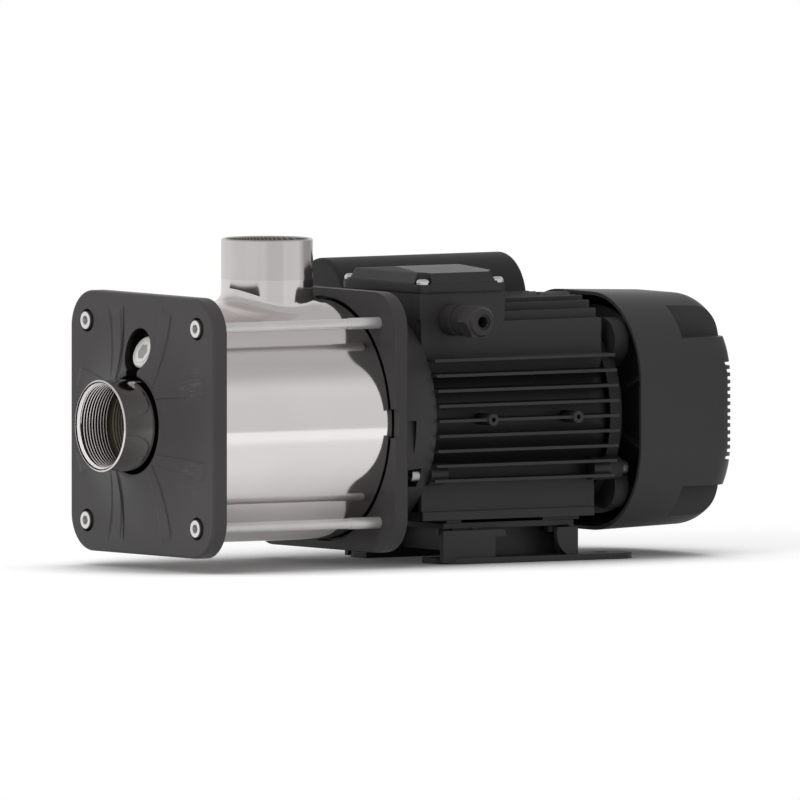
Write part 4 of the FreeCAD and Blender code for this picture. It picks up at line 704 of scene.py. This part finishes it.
def looks():
    """The finishes by name, made on first use."""
    if LOOKS:
        return LOOKS
    colours = bpy.context.scene.pump_finishes
    cast, plastic = tuple(colours.cast), tuple(colours.plastic)
    steel, screw = tuple(colours.stainless), tuple(colours.screws)
    LOOKS.update({
        "black_cast": powder_coat("black_coat", cast, crevice_shade=0.5),
        # Painted light: a lighter copy of the black coat on the front plate
        "lit_front_coat": powder_coat("lit_front_plate_coat", toned(cast, 1.7), 0.40, edge=0.0016,
                                  front=True),
        # Painted light: a lighter copy of the black coat on the bracket
        "lit_bracket_coat": powder_coat("lit_bracket_coat", toned(cast, 1.25), 0.42, 0.8),
        # Painted shade: a darker copy of the black coat on the end shield inside the fan cover
        "shield_coat": powder_coat("shaded_end_shield_coat", toned(cast, 0.6), 0.50, 0.3),
        # Painted shade: a darker copy of the black moulding on the capacitor cover
        "hood_side": moulded_plastic("shaded_capacitor_moulding", toned(plastic, 0.5), 0.50, 0.0008),
        # Painted shade: a darker copy of the black coat on the terminal lid
        "lid_coat": powder_coat("shaded_terminal_lid_coat", toned(cast, 0.9), 0.34, 0.4, 0.0022),
        "stainless": polished_sheet("formed_stainless", steel, 0.24, (1.0, 1.0, 1.0)),
        "shell_steel": polished_sheet("polished_shell", steel, 0.085, (1.0, 0.03, 0.03), 0.6, 0.6),
        # Painted shade: a darker copy of the stainless colour on the discharge port
        "shaded_port_steel": polished_sheet("shaded_polished_port", toned(steel, 0.89), 0.085,
                                     (0.03, 0.03, 1.0), 0.6, 0.6),
        # Painted shade: a darker copy of the stainless colour on the suction barrel
        "shaded_barrel_steel": polished_sheet("shaded_polished_barrel", toned(steel, 0.9), 0.10,
                                       (1.0, 0.03, 0.03), 0.2, 2.2,
                                       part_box("inlet_cover")[0][0] + 0.0001),
        "mouth_steel": faced_metal("mouth_steel", (0.94, 0.93, 0.92), 0.12),
        "plug_steel": faced_metal("plug_steel", toned(screw, 1.05), 0.45),
        "suction_cut": cut_thread("suction_cut", steel, (0.0, 1.0, 1.0), (0.0, 0.0, SHAFT),
                                  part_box("inlet_cover")[0][0]),
        "discharge_cut": cut_thread("discharge_cut", steel, (1.0, 1.0, 0.0),
                                    middle("discharge_port")),
        "bore_wall": threaded_bore("bore_wall", (0.105, 0.094, 0.072)),
        "bolt_steel": plated_bolt("plated_bolt", (0.66, 0.65, 0.64)),
        "bright_steel": turned_metal("bright_steel", screw, 0.25),
        "screw_steel": turned_metal("zinc_plate", screw, 0.24, 0.08),
        "black_steel": powder_coat("painted_foot", plastic, 0.38, 0.8),
        "black_plastic": moulded_plastic("black_moulding", plastic),
        # Painted light: a lighter copy of the black moulding on the fan cover
        "lit_hood_plastic": moulded_plastic("lit_fan_cover_moulding", toned(plastic, 1.15), 0.42, 0.0008),
        # Painted shade: a darker copy of the screw colour on the bracket and end shield screws
        "dull_shaded_zinc": turned_metal("dull_shaded_zinc", toned(screw, 0.6), 0.34, 0.08),
        "black_rubber": moulded_rubber("black_rubber", (0.016, 0.016, 0.016)),
        "seal_ceramic": lapped_ceramic("seal_face", (0.10, 0.10, 0.11)),
        "core_steel": stacked_laminations("laminations", (0.34, 0.34, 0.35)),
        "copper": wound_wire("copper_wire", (0.60, 0.27, 0.13)),
        "brass": turned_metal("plain_brass", (0.74, 0.56, 0.26), 0.28),
        "cage_aluminium": turned_metal("die_cast_aluminium", (0.62, 0.62, 0.63), 0.42, 0.10, 0.4),
        "capacitor_shell": painted_can("capacitor_casing", (0.55, 0.55, 0.56)),
    })
    return LOOKS


SPECIAL = {
    "front_plate": "lit_front_coat",
    "terminal_lid": "lid_coat",
    "pump_sleeve": "shell_steel",
    "discharge_port": "shaded_port_steel",
    "inlet_cover": "shaded_barrel_steel",
    "tie_bolts": "bolt_steel",
    "priming_plug": "plug_steel",
    "bracket_screws": "dull_shaded_zinc",
    "end_shield_screws": "dull_shaded_zinc",
    "fan_cover": "lit_hood_plastic",
    "capacitor_cover": "hood_side",
    "motor_bracket": "lit_bracket_coat",
    "rear_end_shield": "shield_coat",
}


class PUMP_OT_finishes(bpy.types.Operator):
    """Give every solid of the pump its finish"""

    bl_idname = "pump.finishes"
    bl_label = "Finishes"

    def execute(self, context):
        slots = {part["node"]: part["material_slot"] for part in FRAME["record"]["subparts"]}
        for name, node in NODES.items():
            look = looks()[SPECIAL.get(name, slots[name])]
            for slot in node.material_slots:
                slot.material = look
            if not node.material_slots:
                raise RuntimeError("%s has no material slot" % name)
        return {"FINISHED"}


# Studio


def lamp(name, place, target, power, width, height):
    """A soft rectangular lamp that looks at a point and doesn't show in the metal."""
    light = bpy.data.lights.new(name, "AREA")
    light.shape = "RECTANGLE"
    light.size = width
    light.size_y = height
    light.energy = power
    holder = bpy.data.objects.new(name, light)
    holder.location = place
    holder.rotation_euler = (Vector(target) - Vector(place)).to_track_quat("-Z", "Y").to_euler()
    holder.visible_glossy = False
    bpy.context.scene.collection.objects.link(holder)
    return holder


def seen_directly(net):
    """1 for what the camera sees, straight or through metal and glass."""
    mirrored = net.ray("Is Glossy Ray").most(net.ray("Is Transmission Ray"))
    return net.ray("Is Camera Ray").most(mirrored)


def studio_piece(name, shape, look, smooth=False):
    """A new object of the studio from a bmesh."""
    mesh = bpy.data.meshes.new(name)
    shape.to_mesh(mesh)
    shape.free()
    mesh.polygons.foreach_set("use_smooth", [smooth] * len(mesh.polygons))
    piece = bpy.data.objects.new(name, mesh)
    bpy.context.scene.collection.objects.link(piece)
    piece.data.materials.append(look)
    return piece


def white_floor():
    """White paper round the pump that runs out into plain white.

    Close by, painted light and a painted shadow follow an occlusion test toward the key lamp: the
    side open to the lamp glows a little lighter than the rest, and where the test finds the floor
    hidden from the lamp the paper is painted grey. Reflections show the paper itself, with a faint
    glow.
    """
    made, net = material("white_floor")
    grain = net.noise(3.0, 2.0)
    tone = net.blend(grain, (0.78, 0.78, 0.78, 1.0), (0.80, 0.80, 0.80, 1.0))
    paper = net.add("ShaderNodeBsdfDiffuse", {}, {"Color": tone})
    # Grey paper for the painted shadow
    grey = net.add("ShaderNodeBsdfDiffuse", {}, {"Color": (0.50, 0.50, 0.50, 1.0)})
    reach = net.add("ShaderNodeVectorMath", {"operation": "LENGTH"}, [net.places()], output=1)
    mirrored = net.ray("Is Glossy Ray")
    away = reach.between(0.42, 0.85).most(reach.between(0.30, 0.42) * mirrored)
    # An occlusion test toward the key lamp: 1 where painted light goes, 0 where the painted shadow
    # goes
    lamp_side = {"Distance": 0.22, "Normal": (-0.85, -0.30, 0.43)}
    painted_light_mask = net.openness(12, lamp_side).between(0.42, 0.76)
    # Painted light: a glow, strongest where the floor is open to the key lamp
    glow = (0.04 + painted_light_mask * 0.28) * (1.0 - mirrored) + mirrored * 0.08
    sheet = net.add("ShaderNodeMixShader", {}, [painted_light_mask.most(mirrored), grey, paper])
    close = net.add("ShaderNodeAddShader", {}, [sheet, net.glow(glow)])
    shown = net.add("ShaderNodeMixShader", {}, [away, close, net.glow(1.0)])
    both = net.add("ShaderNodeMixShader", {}, [seen_directly(net), paper, shown])
    net.add("ShaderNodeOutputMaterial", {}, {"Surface": both})
    return made


def grey_cloth():
    """Softly folded grey cloth, darker overhead, at the far right and behind the camera."""
    made, net = material("grey_cloth")
    along, back, up = net.axes((1 / TENT_RADIUS,) * 3)
    folds = net.noise(4.0, 2.0, 0.5, (1.0, 1.0, 0.15))
    level = 0.67 + (folds - 0.5) * 0.12 - up.between(0.55, 0.80) * 0.22
    level = level + back.between(0.35, 0.75) * (1.0 - up.between(0.35, 0.75)) * 0.08
    low = 1.0 - up.between(0.30, 0.60)
    facing = along.between(-0.85, -0.60) * (1.0 - along.between(-0.20, 0.05))
    facing = facing * (1.0 - back.between(-0.75, -0.50))
    level = level - along.between(0.65, 1.0) * low * 0.35 - facing * low * 0.08
    net.add("ShaderNodeOutputMaterial", {}, {"Surface": net.glow(level)})
    return made


class PUMP_OT_stage(bpy.types.Operator):
    """Set up the floor, the light and the camera"""

    bl_idname = "pump.stage"
    bl_label = "Studio"

    def execute(self, context):
        scene = context.scene
        studio = scene.pump_studio
        scene.view_settings.view_transform = "Standard"
        self.room(scene, studio)
        self.floor()
        self.tent()
        self.lamps(studio)
        self.camera(scene, studio)
        return {"FINISHED"}

    def room(self, scene, studio):
        """White all round for the eye and for reflections, plain soft light for the rest."""
        world = bpy.data.worlds.new("studio_room")
        world.use_nodes = True
        scene.world = world
        net = Net(world.node_tree)
        level = seen_directly(net) * (1.0 - studio.sky) + studio.sky
        back = net.add("ShaderNodeBackground", {}, {"Color": WHITE, "Strength": level})
        net.add("ShaderNodeOutputWorld", {}, {"Surface": back})

    def floor(self):
        """A wide white floor that keeps the pump's shadow, just under the foot."""
        shape = bmesh.new()
        bmesh.ops.create_grid(shape, x_segments=1, y_segments=1, size=6.0)
        bmesh.ops.translate(shape, vec=(0.0, 0.0, -0.0002), verts=shape.verts)
        plane = studio_piece("studio_floor", shape, white_floor())

    def tent(self):
        """A tent of grey cloth round the set that only shows in the polished steel."""
        shape = bmesh.new()
        bmesh.ops.create_uvsphere(shape, u_segments=64, v_segments=32, radius=TENT_RADIUS)
        below = [vert for vert in shape.verts if vert.co.z < -0.01]
        bmesh.ops.delete(shape, geom=below, context="VERTS")
        cloth = studio_piece("studio_tent", shape, grey_cloth(), smooth=True)
        for kind in ("camera", "diffuse", "transmission", "volume_scatter", "shadow"):
            setattr(cloth, "visible_" + kind, False)

    def lamps(self, studio):
        """A large soft key at the front left, a fill at the near side and a broad top lamp."""
        target = (0.0, 0.0, 0.1)
        lamp("key_lamp", (-2.6, -0.9, 1.5), target, studio.key, 1.8, 1.8)
        lamp("fill_lamp", (0.6, -2.8, 1.0), target, studio.fill, 1.6, 1.6)
        lamp("top_lamp", (0.1, 0.2, 2.8), target, studio.top, 2.4, 2.4)

    def camera(self, scene, studio):
        """The photograph's flat view from the front left."""
        turn, lift = studio.azimuth, studio.elevation
        level = math.cos(lift)
        look = Vector((-math.sin(turn) * level, math.cos(turn) * level, -math.sin(lift)))
        aim = Vector((-0.0742, 0.0, 0.1107))
        data = bpy.data.cameras.new("photo_camera")
        data.type = "ORTHO"
        data.ortho_scale = studio.width
        data.clip_end = 20.0
        holder = bpy.data.objects.new("photo_camera", data)
        holder.location = aim - look * 3.0
        holder.rotation_euler = look.to_track_quat("-Z", "Y").to_euler()
        scene.collection.objects.link(holder)
        scene.camera = holder


class PUMP_PT_panel(bpy.types.Panel):
    """The pump's pieces and their sizes"""

    bl_idname = "PUMP_PT_panel"
    bl_label = "Multistage Pump"
    bl_space_type = "VIEW_3D"
    bl_region_type = "UI"
    bl_category = "Pump"

    def draw(self, context):
        layout = self.layout
        for name in GROUPS:
            group = getattr(context.scene, name)
            box = layout.box()
            for setting in group.__annotations__:
                box.prop(group, setting)
        for operator in OPERATORS:
            layout.operator(operator.bl_idname)


GROUPS = {
    "pump_ports": PUMP_PG_ports,
    "pump_finishes": PUMP_PG_finishes,
    "pump_studio": PUMP_PG_studio,
}
OPERATORS = (
    PUMP_OT_finishes,
    PUMP_OT_port_mouths,
    PUMP_OT_bore_wall,
    PUMP_OT_suction_thread,
    PUMP_OT_discharge_thread,
    PUMP_OT_stage,
)
CLASSES = (*GROUPS.values(), *OPERATORS, PUMP_PT_panel)


def register():
    for item in CLASSES:
        bpy.utils.register_class(item)
    for name, group in GROUPS.items():
        setattr(bpy.types.Scene, name, PointerProperty(type=group))


def unregister():
    for name in GROUPS:
        delattr(bpy.types.Scene, name)
    for item in reversed(CLASSES):
        bpy.utils.unregister_class(item)


def main():
    """Register and make every piece."""
    register()
    for operator in OPERATORS:
        group, name = operator.bl_idname.split(".")
        getattr(getattr(bpy.ops, group), name)()


if __name__ == "__main__":
    main()
